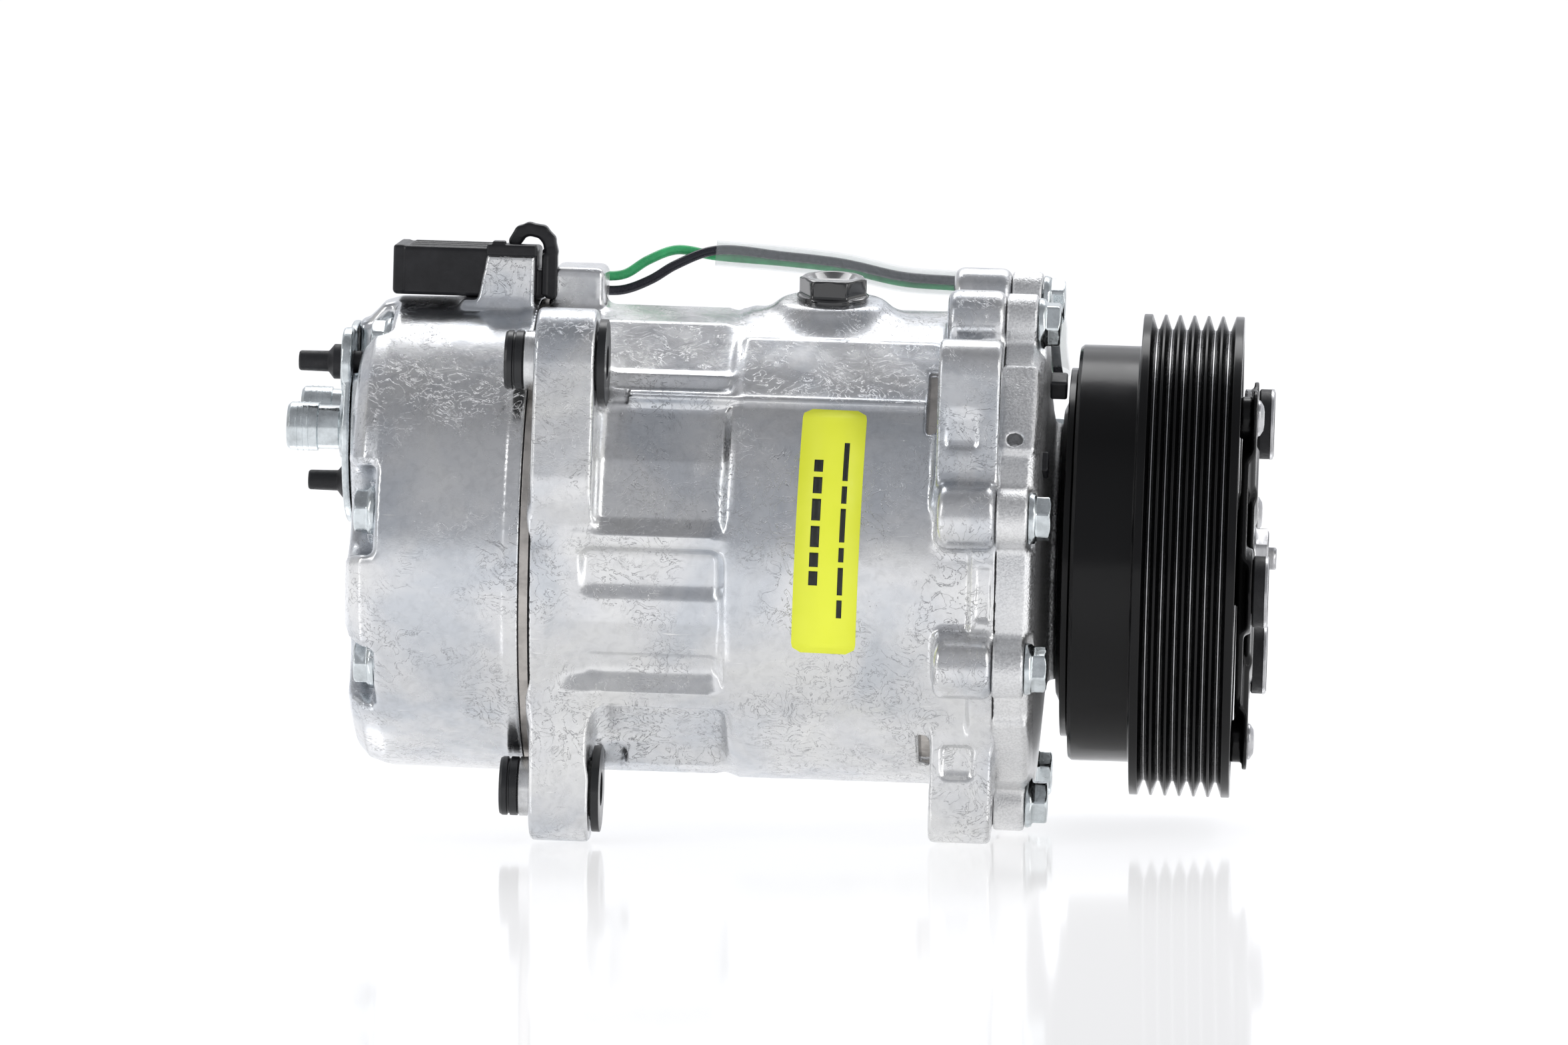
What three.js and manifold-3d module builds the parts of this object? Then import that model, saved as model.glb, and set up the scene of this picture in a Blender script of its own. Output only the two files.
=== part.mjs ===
// A seven-cylinder variable-displacement air-conditioning compressor for a car, with its
// clutch and grooved belt pulley, as separate pieces.
// Units are millimetres. Every piece is laid out about the drive shaft: +X runs along the
// shaft towards the pulley, +Z is up, and the group is then lifted so that its origin is
// below the middle of the compressor, on the surface that it stands on.

import * as THREE from "three";
import { mergeVertices } from "three/addons/utils/BufferGeometryUtils.js";
import Module from "manifold-3d";

const wasm = await Module();
wasm.setup();

// ---------------------------------------------------------------- driving dimensions

const SHAFT_HEIGHT = 72.7; // shaft axis above the lowest mounting ear
const BODY_RADIUS = 59.3;
const RUNNING_GAP = 0.3; // between pieces that touch on the real compressor

// Stations along the shaft, from the rear ports to the end of the hub bolt.
const SCREW_END = -123.2;
const SCREW_COLLAR = -115.5;
const PLUG_END = -121;
const PORT_PLATE = [-110, -107.3];
const HEAD_PAD = -107;
const HEAD_REAR = -104;
const BOLT_SEAT_REAR = -97.7;
const HEAD_FRONT = -62.2;
const VALVE_PLATE = [-61.5, -59.8];
const BODY_REAR = -59;
const EAR_FRONT = -44;
const CYLINDERS_FRONT = -11;
const FLANGE_REAR = 38.3;
const BODY_FRONT = 53.2;
const HOUSING_REAR = 53.5;
const BOLT_SEAT_FRONT = 61.2;
const HOUSING_DOME = 64.5;
const COIL_REAR = 69.4;
const DRUM_REAR = 72.9;
const RIM_REAR = 88.4;
const FRICTION_FACE = 108.1;
const RIM_FRONT = 113.4;
const HUB_PLATE = [116.3, 117.5];
const DAMPER_END = 121.6;
const HUB_BOLT_END = 123.2;

const FRONT_EAR_FACE = 52.6;

// Cylinders, pistons and the wobble drive.
const CYLINDERS = 7;
const CYLINDER_STEP = 360 / CYLINDERS;
const CYLINDER_PHASE = 41.3;
const CYLINDER_PITCH = 38.5;
const BORE_RADIUS = 14.65;
const CYLINDER_WALL = 3.65;
const SHAFT_RADIUS = 8;
const CRANKCASE_RADIUS = 53;
const BALL_PLANE = 1; // shaft station of the rod balls with the plate square to the shaft
const ROD_BALL_RADIUS = 4.2;
const MAX_TILT = 26.4;
const TDC_ANGLE = CYLINDER_PHASE - 2.5 * CYLINDER_STEP; // the side where the plate stays back

// Fasteners.
const REAR_BOLT_RADIUS = 50.5;
const REAR_BOLT_ANGLES = [72, 10.5, -34.5]; // the four behind the far side are the same
const REAR_POCKET_ANGLES = [...REAR_BOLT_ANGLES, -87.3, -138.7, 169.9, 118.5];
const FRONT_BOLT_RADIUS = 63;
const FRONT_LOBE_RADIUS = 7.5;
const FRONT_BOLT_PAIRS = [85.5, -4.5, -94.5, 175.5];
const FRONT_BOLT_SPREAD = 17.2;
const BOLT_SHANK_RADIUS = 3;

// Mounting ears: where each bolt line runs, and which way the ear grows back to the body.
const EAR_RADIUS = 13.2;
const BUSH_RADIUS = 7.3;
const BUSH_BORE = 4.25;
const BOLT_LINES = [
  { name: "near_upper", y: -49.8, z: 47.6, toward: [0, -1], reach: 32, frontRadius: 13.2 },
  { name: "near_lower", y: -32.8, z: -59.5, toward: [0, 1], reach: 24, frontRadius: 10.4 },
  { name: "far_upper", y: 55.7, z: 38, toward: [0, -1], reach: 28, frontRadius: 13.2 },
];
// The fourth ear is at the front only, and the compressor stands on it and the near lower pair.
const FOURTH_EAR = { y: 35, z: -59.5, toward: [0, 1], reach: 24, frontRadius: 10.4 };

// Belt pulley and clutch.
const RIM_RADIUS = 60;
const DRUM_RADIUS = 51.9;
const GROOVES = 6;
const GROOVE_PITCH = 3.56;
const GROOVE_DEPTH = 3.7;
const CLUTCH_AIR_GAP = 0.8;
const DAMPER_ANGLES = [-8, 112, 232];
const DAMPER_CIRCLE = 35;
const DAMPER_RADIUS = 8.75;
const RIVET_ANGLES = [52, 172, 292];
const RIVET_CIRCLE = 47.5;

// ---------------------------------------------------------------- materials

const paint = (color, roughness, metalness) =>
  new THREE.MeshStandardMaterial({ color, roughness, metalness });
const castAluminium = paint(0xc3c6ca, 0.42, 0.9);
const blastedAluminium = paint(0xb9bbbd, 0.62, 0.85);
const machinedAluminium = paint(0xcfd2d4, 0.28, 0.95);
const zincSteel = paint(0xc9d3d6, 0.25, 1);
const bareSteel = paint(0xa9abad, 0.3, 1);
const blackSteel = paint(0x17181c, 0.35, 0.6);
const blackPlastic = paint(0x1b1c20, 0.5, 0);
const rubber = paint(0x232327, 0.75, 0);
const gasketBlack = paint(0x101012, 0.8, 0);
const greenWire = paint(0x3fae6b, 0.45, 0);
const blackWire = paint(0x26252b, 0.4, 0);
const clearSleeve = new THREE.MeshStandardMaterial({
  color: 0xe8eef0,
  roughness: 0.1,
  transparent: true,
  opacity: 0.35,
});

// ---------------------------------------------------------------- solid helpers

const radians = THREE.MathUtils.degToRad;

// A point round the shaft: angle 0 is the near side (-Y), and 90 is straight up.
function around(angle, radius) {
  return {
    y: -radius * Math.cos(radians(angle)),
    z: radius * Math.sin(radians(angle)),
  };
}

// Turns a closed geometry into a manifold-3d solid with its faces pointing out.
function solid(geometry) {
  const plain = geometry.clone();
  plain.deleteAttribute("normal");
  plain.deleteAttribute("uv");
  const merged = mergeVertices(plain, 1e-3);
  const corners = [];
  for (let i = 0; i < merged.index.count; i += 3) {
    const [a, b, c] = [0, 1, 2].map((k) => merged.index.getX(i + k));
    if (a !== b && b !== c && a !== c) corners.push(a, b, c);
  }
  const build = (triangles) =>
    new wasm.Manifold(
      new wasm.Mesh({
        numProp: 3,
        vertProperties: new Float32Array(merged.attributes.position.array),
        triVerts: new Uint32Array(triangles),
      }),
    );
  const made = build(corners);
  return made.volume() > 0 ? made : build(corners.reverse());
}

// The other way round: a manifold-3d solid as a three.js geometry.
function geometryOf(shape) {
  const mesh = shape.getMesh();
  const flat = new THREE.BufferGeometry()
    .setAttribute("position", new THREE.BufferAttribute(new Float32Array(mesh.vertProperties), 3))
    .setIndex(new THREE.BufferAttribute(new Uint32Array(mesh.triVerts), 1))
    .toNonIndexed();
  flat.computeVertexNormals();
  return flat;
}

const join = (first, ...others) => others.reduce((sum, next) => sum.add(next), first);
const cut = (first, ...others) => others.reduce((rest, next) => rest.subtract(next), first);

// A solid of revolution about the shaft from [station, radius] points.
function turned(profile, segments = 32) {
  const points = profile.map(([x, r]) => new THREE.Vector2(r, x));
  const onAxis = profile[0][1] === 0 && profile.at(-1)[1] === 0;
  if (!onAxis) points.push(points[0].clone());
  return solid(new THREE.LatheGeometry(points, segments).rotateZ(-Math.PI / 2));
}

// A plain ring or tube about the shaft.
const ring = (x0, x1, inner, outer, segments = 32) =>
  turned([[x0, inner], [x1, inner], [x1, outer], [x0, outer]], segments);

// A cylinder parallel to the shaft.
const rod = (x0, x1, radius, { y, z } = { y: 0, z: 0 }, segments = 12) =>
  turned([[x0, 0], [x0, radius], [x1, radius], [x1, 0]], segments).translate([0, y, z]);

// A box between two corners.
function block([x0, x1], [y0, y1], [z0, z1]) {
  const geometry = new THREE.BoxGeometry(x1 - x0, y1 - y0, z1 - z0);
  return solid(geometry.translate((x0 + x1) / 2, (y0 + y1) / 2, (z0 + z1) / 2));
}

// A flat shape drawn in the (y, z) plane and given thickness along the shaft.
const ALONG_SHAFT = new THREE.Matrix4().makeBasis(
  new THREE.Vector3(0, 1, 0),
  new THREE.Vector3(0, 0, 1),
  new THREE.Vector3(1, 0, 0),
);
function plate(shape, x0, x1, curveSegments = 8) {
  const geometry = new THREE.ExtrudeGeometry(shape, {
    depth: x1 - x0,
    bevelEnabled: false,
    curveSegments,
  });
  return solid(geometry.applyMatrix4(ALONG_SHAFT).translate(x0, 0, 0));
}

function hexagon(acrossFlats) {
  const corners = [...Array(6).keys()].map((k) => {
    const angle = radians(60 * k + 30);
    const radius = acrossFlats / Math.sqrt(3);
    return new THREE.Vector2(radius * Math.cos(angle), radius * Math.sin(angle));
  });
  return new THREE.Shape(corners);
}

const compressor = new THREE.Group();
function add(name, shape, material, position = [0, 0, 0], turn = 0) {
  const geometry = shape.isBufferGeometry ? shape : geometryOf(shape);
  const mesh = new THREE.Mesh(geometry, material);
  mesh.name = name;
  mesh.position.set(...position);
  mesh.rotation.x = turn;
  compressor.add(mesh);
  return mesh;
}

const cylinderAngles = [...Array(CYLINDERS).keys()].map(
  (k) => CYLINDER_PHASE - CYLINDER_STEP * k,
);
const frontBoltAngles = FRONT_BOLT_PAIRS.flatMap((middle) => [
  middle + FRONT_BOLT_SPREAD,
  middle - FRONT_BOLT_SPREAD,
]);

// ---------------------------------------------------------------- cylinder block and crankcase

// A mounting ear: a round end about the bolt line, with straight sides back to the body.
function ear(x0, x1, { y, z, toward, reach }, radius) {
  const [ty, tz] = toward;
  const arm = new THREE.BoxGeometry(x1 - x0, 2 * radius, reach);
  arm.rotateX(Math.atan2(-ty, tz));
  arm.translate((x0 + x1) / 2, y + (ty * reach) / 2, z + (tz * reach) / 2);
  return join(rod(x0, x1, radius, { y, z }, 16), solid(arm));
}

function blockCasting() {
  const barrel = turned([
    [BODY_REAR, 0],
    [BODY_REAR, BODY_RADIUS],
    [-47, BODY_RADIUS],
    [-44, 50],
    [-16, 50],
    [CYLINDERS_FRONT, BODY_RADIUS - 0.3],
    [40, BODY_RADIUS],
    [44, 61.5],
    [BODY_FRONT, 61.5],
    [BODY_FRONT, 0],
  ]);
  let casting = barrel;
  for (const angle of cylinderAngles) {
    const place = around(angle, CYLINDER_PITCH);
    casting = casting.add(rod(-50, -12, BORE_RADIUS + CYLINDER_WALL, place));
  }
  for (const angle of frontBoltAngles) {
    const place = around(angle, FRONT_BOLT_RADIUS);
    casting = casting.add(rod(40.5, BODY_FRONT, FRONT_LOBE_RADIUS, place, 12));
  }
  for (const line of BOLT_LINES) casting = casting.add(ear(BODY_REAR, EAR_FRONT, line, EAR_RADIUS));
  for (const line of [...BOLT_LINES, FOURTH_EAR])
    casting = casting.add(ear(FLANGE_REAR, FRONT_EAR_FACE, line, line.frontRadius));
  const topBoss = block([BODY_REAR, -46], [-9, 12], [50, 67.8]);
  const plugBoss = new THREE.CylinderGeometry(12.4, 15, 14, 16).rotateX(Math.PI / 2);
  plugBoss.rotateX(radians(PLUG_LEAN));
  const seat = plugPlace(PLUG_SEAT_HEIGHT - 7);
  plugBoss.translate(seat.x, seat.y, seat.z);
  return join(casting, topBoss, solid(plugBoss));
}

// The oil plug leans a little towards the near side.
const PLUG_STATION = 11;
const PLUG_LEAN = 7;
const PLUG_SEAT_HEIGHT = 61.8;
function plugPlace(height) {
  return {
    x: PLUG_STATION,
    y: -height * Math.sin(radians(PLUG_LEAN)),
    z: height * Math.cos(radians(PLUG_LEAN)),
  };
}

// A cylinder pointing out of the shaft axis along the oil plug's line.
function plugRod(low, high, radius, segments) {
  const geometry = new THREE.CylinderGeometry(radius, radius, high - low, segments);
  geometry.rotateX(Math.PI / 2).rotateX(radians(PLUG_LEAN));
  const middle = plugPlace((low + high) / 2);
  return solid(geometry.translate(middle.x, middle.y, middle.z));
}

const GUIDE_PIN = { ...around(TDC_ANGLE, 48.5), rear: -13.5, front: 58, radius: 2.5 };

function bodyHoles() {
  const holes = [
    rod(CYLINDERS_FRONT, BODY_FRONT + 1, CRANKCASE_RADIUS, undefined, 28),
    rod(-48, CYLINDERS_FRONT + 1, 12.4, undefined, 20),
    plugRod(45, 63, 5.3, 8),
    rod(GUIDE_PIN.rear - 0.5, CYLINDERS_FRONT + 1, GUIDE_PIN.radius + RUNNING_GAP, GUIDE_PIN, 8),
  ];
  for (const angle of cylinderAngles)
    holes.push(rod(BODY_REAR - 1, 0, BORE_RADIUS, around(angle, CYLINDER_PITCH)));
  for (const angle of frontBoltAngles) {
    const place = around(angle, FRONT_BOLT_RADIUS);
    holes.push(rod(44, BODY_FRONT + 1, BOLT_SHANK_RADIUS + RUNNING_GAP, place, 8));
  }
  for (const angle of REAR_BOLT_ANGLES) {
    const place = around(angle, REAR_BOLT_RADIUS);
    holes.push(rod(BODY_REAR - 1, -48, BOLT_SHANK_RADIUS + RUNNING_GAP, place, 8));
  }
  for (const line of [...BOLT_LINES, FOURTH_EAR])
    holes.push(rod(FLANGE_REAR - 1, BODY_FRONT + 1, BUSH_BORE, line, 10));
  for (const line of BOLT_LINES) {
    holes.push(rod(BODY_REAR - 1, -40, BUSH_RADIUS + RUNNING_GAP, line, 14));
    // The spot face where the bush collar sits.
    holes.push(rod(EAR_FRONT, -41, 12, line, 16));
  }
  return holes;
}

add("compressor_body", cut(blockCasting(), ...bodyHoles()), castAluminium);

// ---------------------------------------------------------------- rear cylinder head

const PORT_CENTRE = { y: 0, z: 27 };
const PORT_PLUGS = [
  { y: -15, z: 43 },
  { y: 15, z: 10.5 },
];
const PORT_SCREWS = [
  { y: -17, z: 26.8 },
  { y: 17, z: 28 },
];
const PAD_RADIUS = 26;
const PLUG_TIP = -105.3;
const SCREW_TIP = -95;
const CONTROL_VALVE = { x: -84, z: -27, radius: 6.5 };

function headCasting() {
  const shell = turned([
    [HEAD_REAR, 0],
    [HEAD_REAR, 49.5],
    [-102.5, 54.5],
    [-99, 58.2],
    [-94, BODY_RADIUS - 0.4],
    [HEAD_FRONT, BODY_RADIUS],
    [HEAD_FRONT, 0],
  ]);
  const pad = rod(HEAD_PAD, HEAD_REAR + 1, PAD_RADIUS, PORT_CENTRE, 20);
  const cradle = join(
    block([-81, -65.4], [-15, -12], [50, 70.4]),
    block([-81, -65.4], [9, 12], [50, 70.4]),
    block([-81, -65.4], [-15, 12], [50, 59.6]),
  );
  return join(shell, pad, cradle);
}

// The suction gallery runs round the outside and the discharge chamber is in the middle.
function headHoles() {
  const holes = [
    ring(-96, HEAD_FRONT + 1, 27, 43.5, 20),
    rod(-96, HEAD_FRONT + 1, 22.5, undefined, 16),
  ];
  for (const angle of REAR_POCKET_ANGLES) {
    const place = around(angle, REAR_BOLT_RADIUS);
    holes.push(rod(HEAD_PAD - 1, BOLT_SEAT_REAR, 7.4, place, 10));
    const outside = around(angle, REAR_BOLT_RADIUS + 8);
    holes.push(rod(HEAD_PAD - 1, BOLT_SEAT_REAR, 7.4, outside, 10));
    holes.push(rod(BOLT_SEAT_REAR - 1, HEAD_FRONT + 1, BOLT_SHANK_RADIUS + RUNNING_GAP, place, 8));
  }
  for (const place of PORT_PLUGS) holes.push(rod(HEAD_PAD - 1, PLUG_TIP + 0.5, 3.3, place, 8));
  for (const place of PORT_SCREWS) holes.push(rod(HEAD_PAD - 1, SCREW_TIP + 1, 3.3, place, 8));
  return holes;
}

// A cylinder lying across the compressor, along Y.
function crossRod(x, z, y0, y1, radius, segments) {
  const geometry = new THREE.CylinderGeometry(radius, radius, y1 - y0, segments);
  return solid(geometry.translate(x, (y0 + y1) / 2, z));
}

const valveBore = crossRod(
  CONTROL_VALVE.x, CONTROL_VALVE.z, 18, 70, CONTROL_VALVE.radius + RUNNING_GAP, 20,
);
add("rear_head", cut(headCasting(), ...headHoles(), valveBore), castAluminium);

add(
  "control_valve",
  join(
    crossRod(CONTROL_VALVE.x, CONTROL_VALVE.z, 19, 52, CONTROL_VALVE.radius, 16),
    crossRod(CONTROL_VALVE.x, CONTROL_VALVE.z, 52, 54.5, CONTROL_VALVE.radius - 1.5, 16),
  ),
  bareSteel,
);

// Holes for the rear bolts, shared by the plates and gaskets of the head joint.
const headBoltHoles = (x0, x1) =>
  REAR_POCKET_ANGLES.map((angle) =>
    rod(x0 - 1, x1 + 1, BOLT_SHANK_RADIUS + RUNNING_GAP, around(angle, REAR_BOLT_RADIUS), 8),
  );

add(
  "head_gasket",
  cut(ring(-62, -61.6, 44, BODY_RADIUS - 0.8, 28), ...headBoltHoles(-62, -61.6)),
  gasketBlack,
);

function valvePlate() {
  const [x0, x1] = VALVE_PLATE;
  const ports = cylinderAngles.map((angle) =>
    rod(x0 - 1, x1 + 1, 3, around(angle, CYLINDER_PITCH - 4), 6),
  );
  const disc = rod(x0, x1, BODY_RADIUS - 0.2, undefined, 28);
  return cut(disc, ...ports, ...headBoltHoles(x0, x1));
}
add("valve_plate", valvePlate(), bareSteel);

// Reed discs: a hub with one tongue for each cylinder.
function reedDisc(x0, x1, hubRadius, tongueReach, tongueRadius) {
  let disc = ring(x0, x1, 6, hubRadius, 16);
  for (const angle of cylinderAngles) {
    const tongue = new THREE.BoxGeometry(x1 - x0, tongueReach - hubRadius + 4, 2 * tongueRadius);
    tongue.translate((x0 + x1) / 2, -(tongueReach + hubRadius - 4) / 2, 0);
    tongue.rotateX(-radians(angle));
    disc = disc.add(solid(tongue));
  }
  return disc;
}
add("discharge_reed", reedDisc(-62, -61.6, 18, 38, 3.8), bareSteel);
add(
  "suction_reed",
  cut(ring(-59.7, -59.3, 17, BODY_RADIUS - 0.8, 28), ...headBoltHoles(-59.7, -59.3)),
  bareSteel,
);

// ---------------------------------------------------------------- rear port blanking plate

// The blanking plate is a rounded diamond with a hole for each plug and screw.
function portPlate() {
  const [x0, x1] = PORT_PLATE;
  const disc = rod(x0, x1, PAD_RADIUS - 0.7, PORT_CENTRE, 20);
  const holes = [...PORT_PLUGS, ...PORT_SCREWS].map((place) => rod(x0 - 1, x1 + 1, 3.2, place, 8));
  return cut(disc, ...holes);
}
add("port_plate", portPlate(), zincSteel);

PORT_SCREWS.forEach(({ y, z }, k) => {
  const shape = turned([
    [SCREW_END, 0],
    [SCREW_END, 5.2],
    [SCREW_END + 0.8, 6],
    [SCREW_COLLAR, 6],
    [SCREW_COLLAR, 5.45],
    [PORT_PLATE[0] - 0.1, 5.45],
    [PORT_PLATE[0] - 0.1, 2.9],
    [SCREW_TIP, 2.9],
    [SCREW_TIP, 0],
  ], 16);
  add(`port_screw_${k + 1}`, shape, zincSteel, [0, y, z]);
});

PORT_PLUGS.forEach(({ y, z }, k) => {
  const shape = turned([
    [PLUG_END, 0],
    [PLUG_END, 2.5],
    [-113.4, 2.6],
    [-112, 4.35],
    [PORT_PLATE[0] - 0.1, 4.35],
    [PORT_PLATE[0] - 0.1, 2.8],
    [PLUG_TIP, 2.8],
    [PLUG_TIP, 0],
  ], 12);
  add(`port_plug_${k + 1}`, shape, rubber, [0, y, z]);
});

// ---------------------------------------------------------------- bolts

// A flanged hex bolt whose head's seat is at station 0 and whose shank points along +X.
function flangeBolt(acrossFlats, flangeRadius, headHeight, shankLength) {
  return join(
    plate(hexagon(acrossFlats), -headHeight, -0.5),
    turned([[-1.9, 0], [-1.9, acrossFlats / 2], [-0.9, flangeRadius], [0, flangeRadius], [0, 0]], 12),
    rod(-1, shankLength, BOLT_SHANK_RADIUS, undefined, 8),
  );
}

const rearBolt = geometryOf(flangeBolt(10, 6.4, 5.2, 48));
REAR_BOLT_ANGLES.forEach((angle, k) => {
  const { y, z } = around(angle, REAR_BOLT_RADIUS);
  add(`rear_bolt_${k + 1}`, rearBolt, zincSteel, [BOLT_SEAT_REAR - 0.1, y, z], radians(17 * k));
});

const frontBoltShape = flangeBolt(10, 6.4, 5.6, 16.5).rotate([0, 180, 0]);
const frontBolt = geometryOf(frontBoltShape);
frontBoltAngles.forEach((angle, k) => {
  const { y, z } = around(angle, FRONT_BOLT_RADIUS);
  add(`front_bolt_${k + 1}`, frontBolt, zincSteel, [BOLT_SEAT_FRONT + 0.1, y, z], radians(23 * k));
});

// ---------------------------------------------------------------- mounting bushes

const BUSH_REAR = -66.7;
BOLT_LINES.forEach(({ name, y, z }) => {
  const sleeve = turned([
    [BUSH_REAR, BUSH_BORE],
    [-41.7, BUSH_BORE],
    [-41.7, 10.7],
    [-43.7, 10.7],
    [-43.7, BUSH_RADIUS],
    [BUSH_REAR, BUSH_RADIUS],
  ], 16);
  add(`bush_${name}`, sleeve, blackSteel, [0, y, z]);
});

// ---------------------------------------------------------------- oil plug

function oilPlug() {
  const head = new THREE.ExtrudeGeometry(hexagon(15), { depth: 5.2, bevelEnabled: false });
  const flange = new THREE.CylinderGeometry(8.9, 8.9, 1.2, 16).rotateX(Math.PI / 2);
  const thread = new THREE.CylinderGeometry(5, 5, 11, 8).rotateX(Math.PI / 2);
  const shape = join(
    solid(head.translate(0, 0, 1)),
    solid(flange.translate(0, 0, 0.7)),
    solid(thread.translate(0, 0, -5.2)),
  );
  return geometryOf(shape);
}
const plugSeat = plugPlace(PLUG_SEAT_HEIGHT + 0.1);
add("oil_plug", oilPlug(), blackSteel, [plugSeat.x, plugSeat.y, plugSeat.z], radians(PLUG_LEAN));

// ---------------------------------------------------------------- front housing

function frontHousing() {
  const dome = turned([
    [HOUSING_REAR, 0],
    [HOUSING_REAR, 61.2],
    [HOUSING_DOME - 3, 61.2],
    [HOUSING_DOME, 58],
    [65.5, 50],
    [66.5, 36],
    [67.2, 32.3],
    [69.1, 32.3],
    [69.1, 17.3],
    [97, 17.3],
    [97, 0],
  ]);
  let casting = dome;
  for (const angle of frontBoltAngles) {
    const place = around(angle, FRONT_BOLT_RADIUS);
    casting = casting.add(rod(HOUSING_REAR, BOLT_SEAT_FRONT, FRONT_LOBE_RADIUS - 0.2, place));
  }
  const holes = [
    rod(HOUSING_REAR - 1, 61.5, 50, undefined, 28),
    rod(HOUSING_REAR - 1, GUIDE_PIN.front + 0.3, GUIDE_PIN.radius + RUNNING_GAP, GUIDE_PIN, 8),
    rod(61, 98, SHAFT_RADIUS + 0.5, undefined, 20),
    rod(61, 68, 13.3, undefined, 20),
    rod(84, 98, 13.3, undefined, 20),
  ];
  // The channel that lets the coil lead down the face, past the top bolt.
  holes.push(block([BOLT_SEAT_FRONT - 0.1, 68], [4, 34], [36, 66]));
  for (const angle of frontBoltAngles) {
    const place = around(angle, FRONT_BOLT_RADIUS);
    holes.push(rod(HOUSING_REAR - 1, BOLT_SEAT_FRONT + 1, BOLT_SHANK_RADIUS + RUNNING_GAP, place, 8));
    holes.push(rod(BOLT_SEAT_FRONT, HOUSING_DOME + 2, FRONT_LOBE_RADIUS, place));
  }
  return cut(casting, ...holes);
}
add("front_housing", frontHousing(), blastedAluminium);

const SHAFT_BORE = SHAFT_RADIUS + RUNNING_GAP;
add("front_shaft_bearing", ring(61.8, 67.7, SHAFT_BORE, 13, 20), bareSteel);
add("rear_shaft_bearing", ring(-40, -22, SHAFT_BORE, 12.1, 20), bareSteel);
add("shaft_seal", ring(85, 92, SHAFT_BORE, 13, 20), gasketBlack);

// ---------------------------------------------------------------- clutch coil

function fieldCoil() {
  return turned([
    [COIL_REAR, 32.8],
    [COIL_REAR, 35.5],
    [70.8, 38.5],
    [70.8, 46],
    [72.6, 46],
    [72.6, 45.2],
    [101.5, 45.2],
    [101.5, 33.4],
    [72, 33.4],
    [72, 17.6],
    [69.4, 17.6],
  ], 24);
}
add("field_coil", fieldCoil(), blackSteel);

// ---------------------------------------------------------------- belt pulley

function pulleyProfile() {
  const flank = GROOVE_PITCH / 2 - 0.3;
  const ribsStart = (RIM_REAR + RIM_FRONT) / 2 - (GROOVES * GROOVE_PITCH) / 2;
  const ribs = [];
  for (let k = 0; k < GROOVES; k++) {
    const middle = ribsStart + (k + 0.5) * GROOVE_PITCH;
    ribs.push([middle - flank, RIM_RADIUS]);
    ribs.push([middle, RIM_RADIUS - GROOVE_DEPTH]);
    ribs.push([middle + flank, RIM_RADIUS]);
  }
  return [
    [DRUM_REAR, 46.6],
    [DRUM_REAR, DRUM_RADIUS - 1],
    [DRUM_REAR + 1, DRUM_RADIUS],
    [RIM_REAR, DRUM_RADIUS],
    [RIM_REAR, RIM_RADIUS],
    ...ribs,
    [RIM_FRONT, RIM_RADIUS],
    [RIM_FRONT, 54],
    [FRICTION_FACE, 52.5],
    [FRICTION_FACE, 27.8],
    [76, 27.8],
    [76, 32],
    [103, 32],
    [103, 46.6],
  ];
}
add("belt_pulley", turned(pulleyProfile(), 28), blackSteel);

// The double-row bearing between the housing's nose and the pulley.
const BEARING = { rear: 77, front: 97, inner: 17.8, innerRace: 20.4, outerRace: 24.7, outer: 27.6 };
const BALL_ROWS = [82, 92];
const BALLS_PER_ROW = 6;
const RACE_GROOVE = 1.25;
function race(bore, land, groove) {
  const grooves = BALL_ROWS.flatMap((row) => [
    [row - 2, land],
    [row, groove],
    [row + 2, land],
  ]);
  return turned([[BEARING.rear, bore], [BEARING.rear, land], ...grooves,
    [BEARING.front, land], [BEARING.front, bore]], 20);
}
add("bearing_inner_race", race(BEARING.inner, BEARING.innerRace, BEARING.innerRace - RACE_GROOVE), bareSteel);
add("bearing_outer_race", race(BEARING.outer, BEARING.outerRace, BEARING.outerRace + RACE_GROOVE), bareSteel);

// Balls of both rows, held by one cage.
function ballCage() {
  const pitch = (BEARING.innerRace + BEARING.outerRace) / 2;
  let cage = ring(BALL_ROWS[0] - 1.5, BALL_ROWS[1] + 1.5, pitch - 0.9, pitch + 0.9, 12);
  const ball = new THREE.IcosahedronGeometry(2.7, 0);
  BALL_ROWS.forEach((row, side) => {
    for (let k = 0; k < BALLS_PER_ROW; k++) {
      const { y, z } = around((360 / BALLS_PER_ROW) * (k + side / 2), pitch);
      cage = cage.add(solid(ball.clone().translate(row, y, z)));
    }
  });
  return cage;
}
add("bearing_balls", ballCage(), bareSteel);

// ---------------------------------------------------------------- clutch hub

const ARMATURE = [FRICTION_FACE + CLUTCH_AIR_GAP, 113];
add("armature_plate", ring(...ARMATURE, 29, 51, 28), blackSteel);

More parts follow.
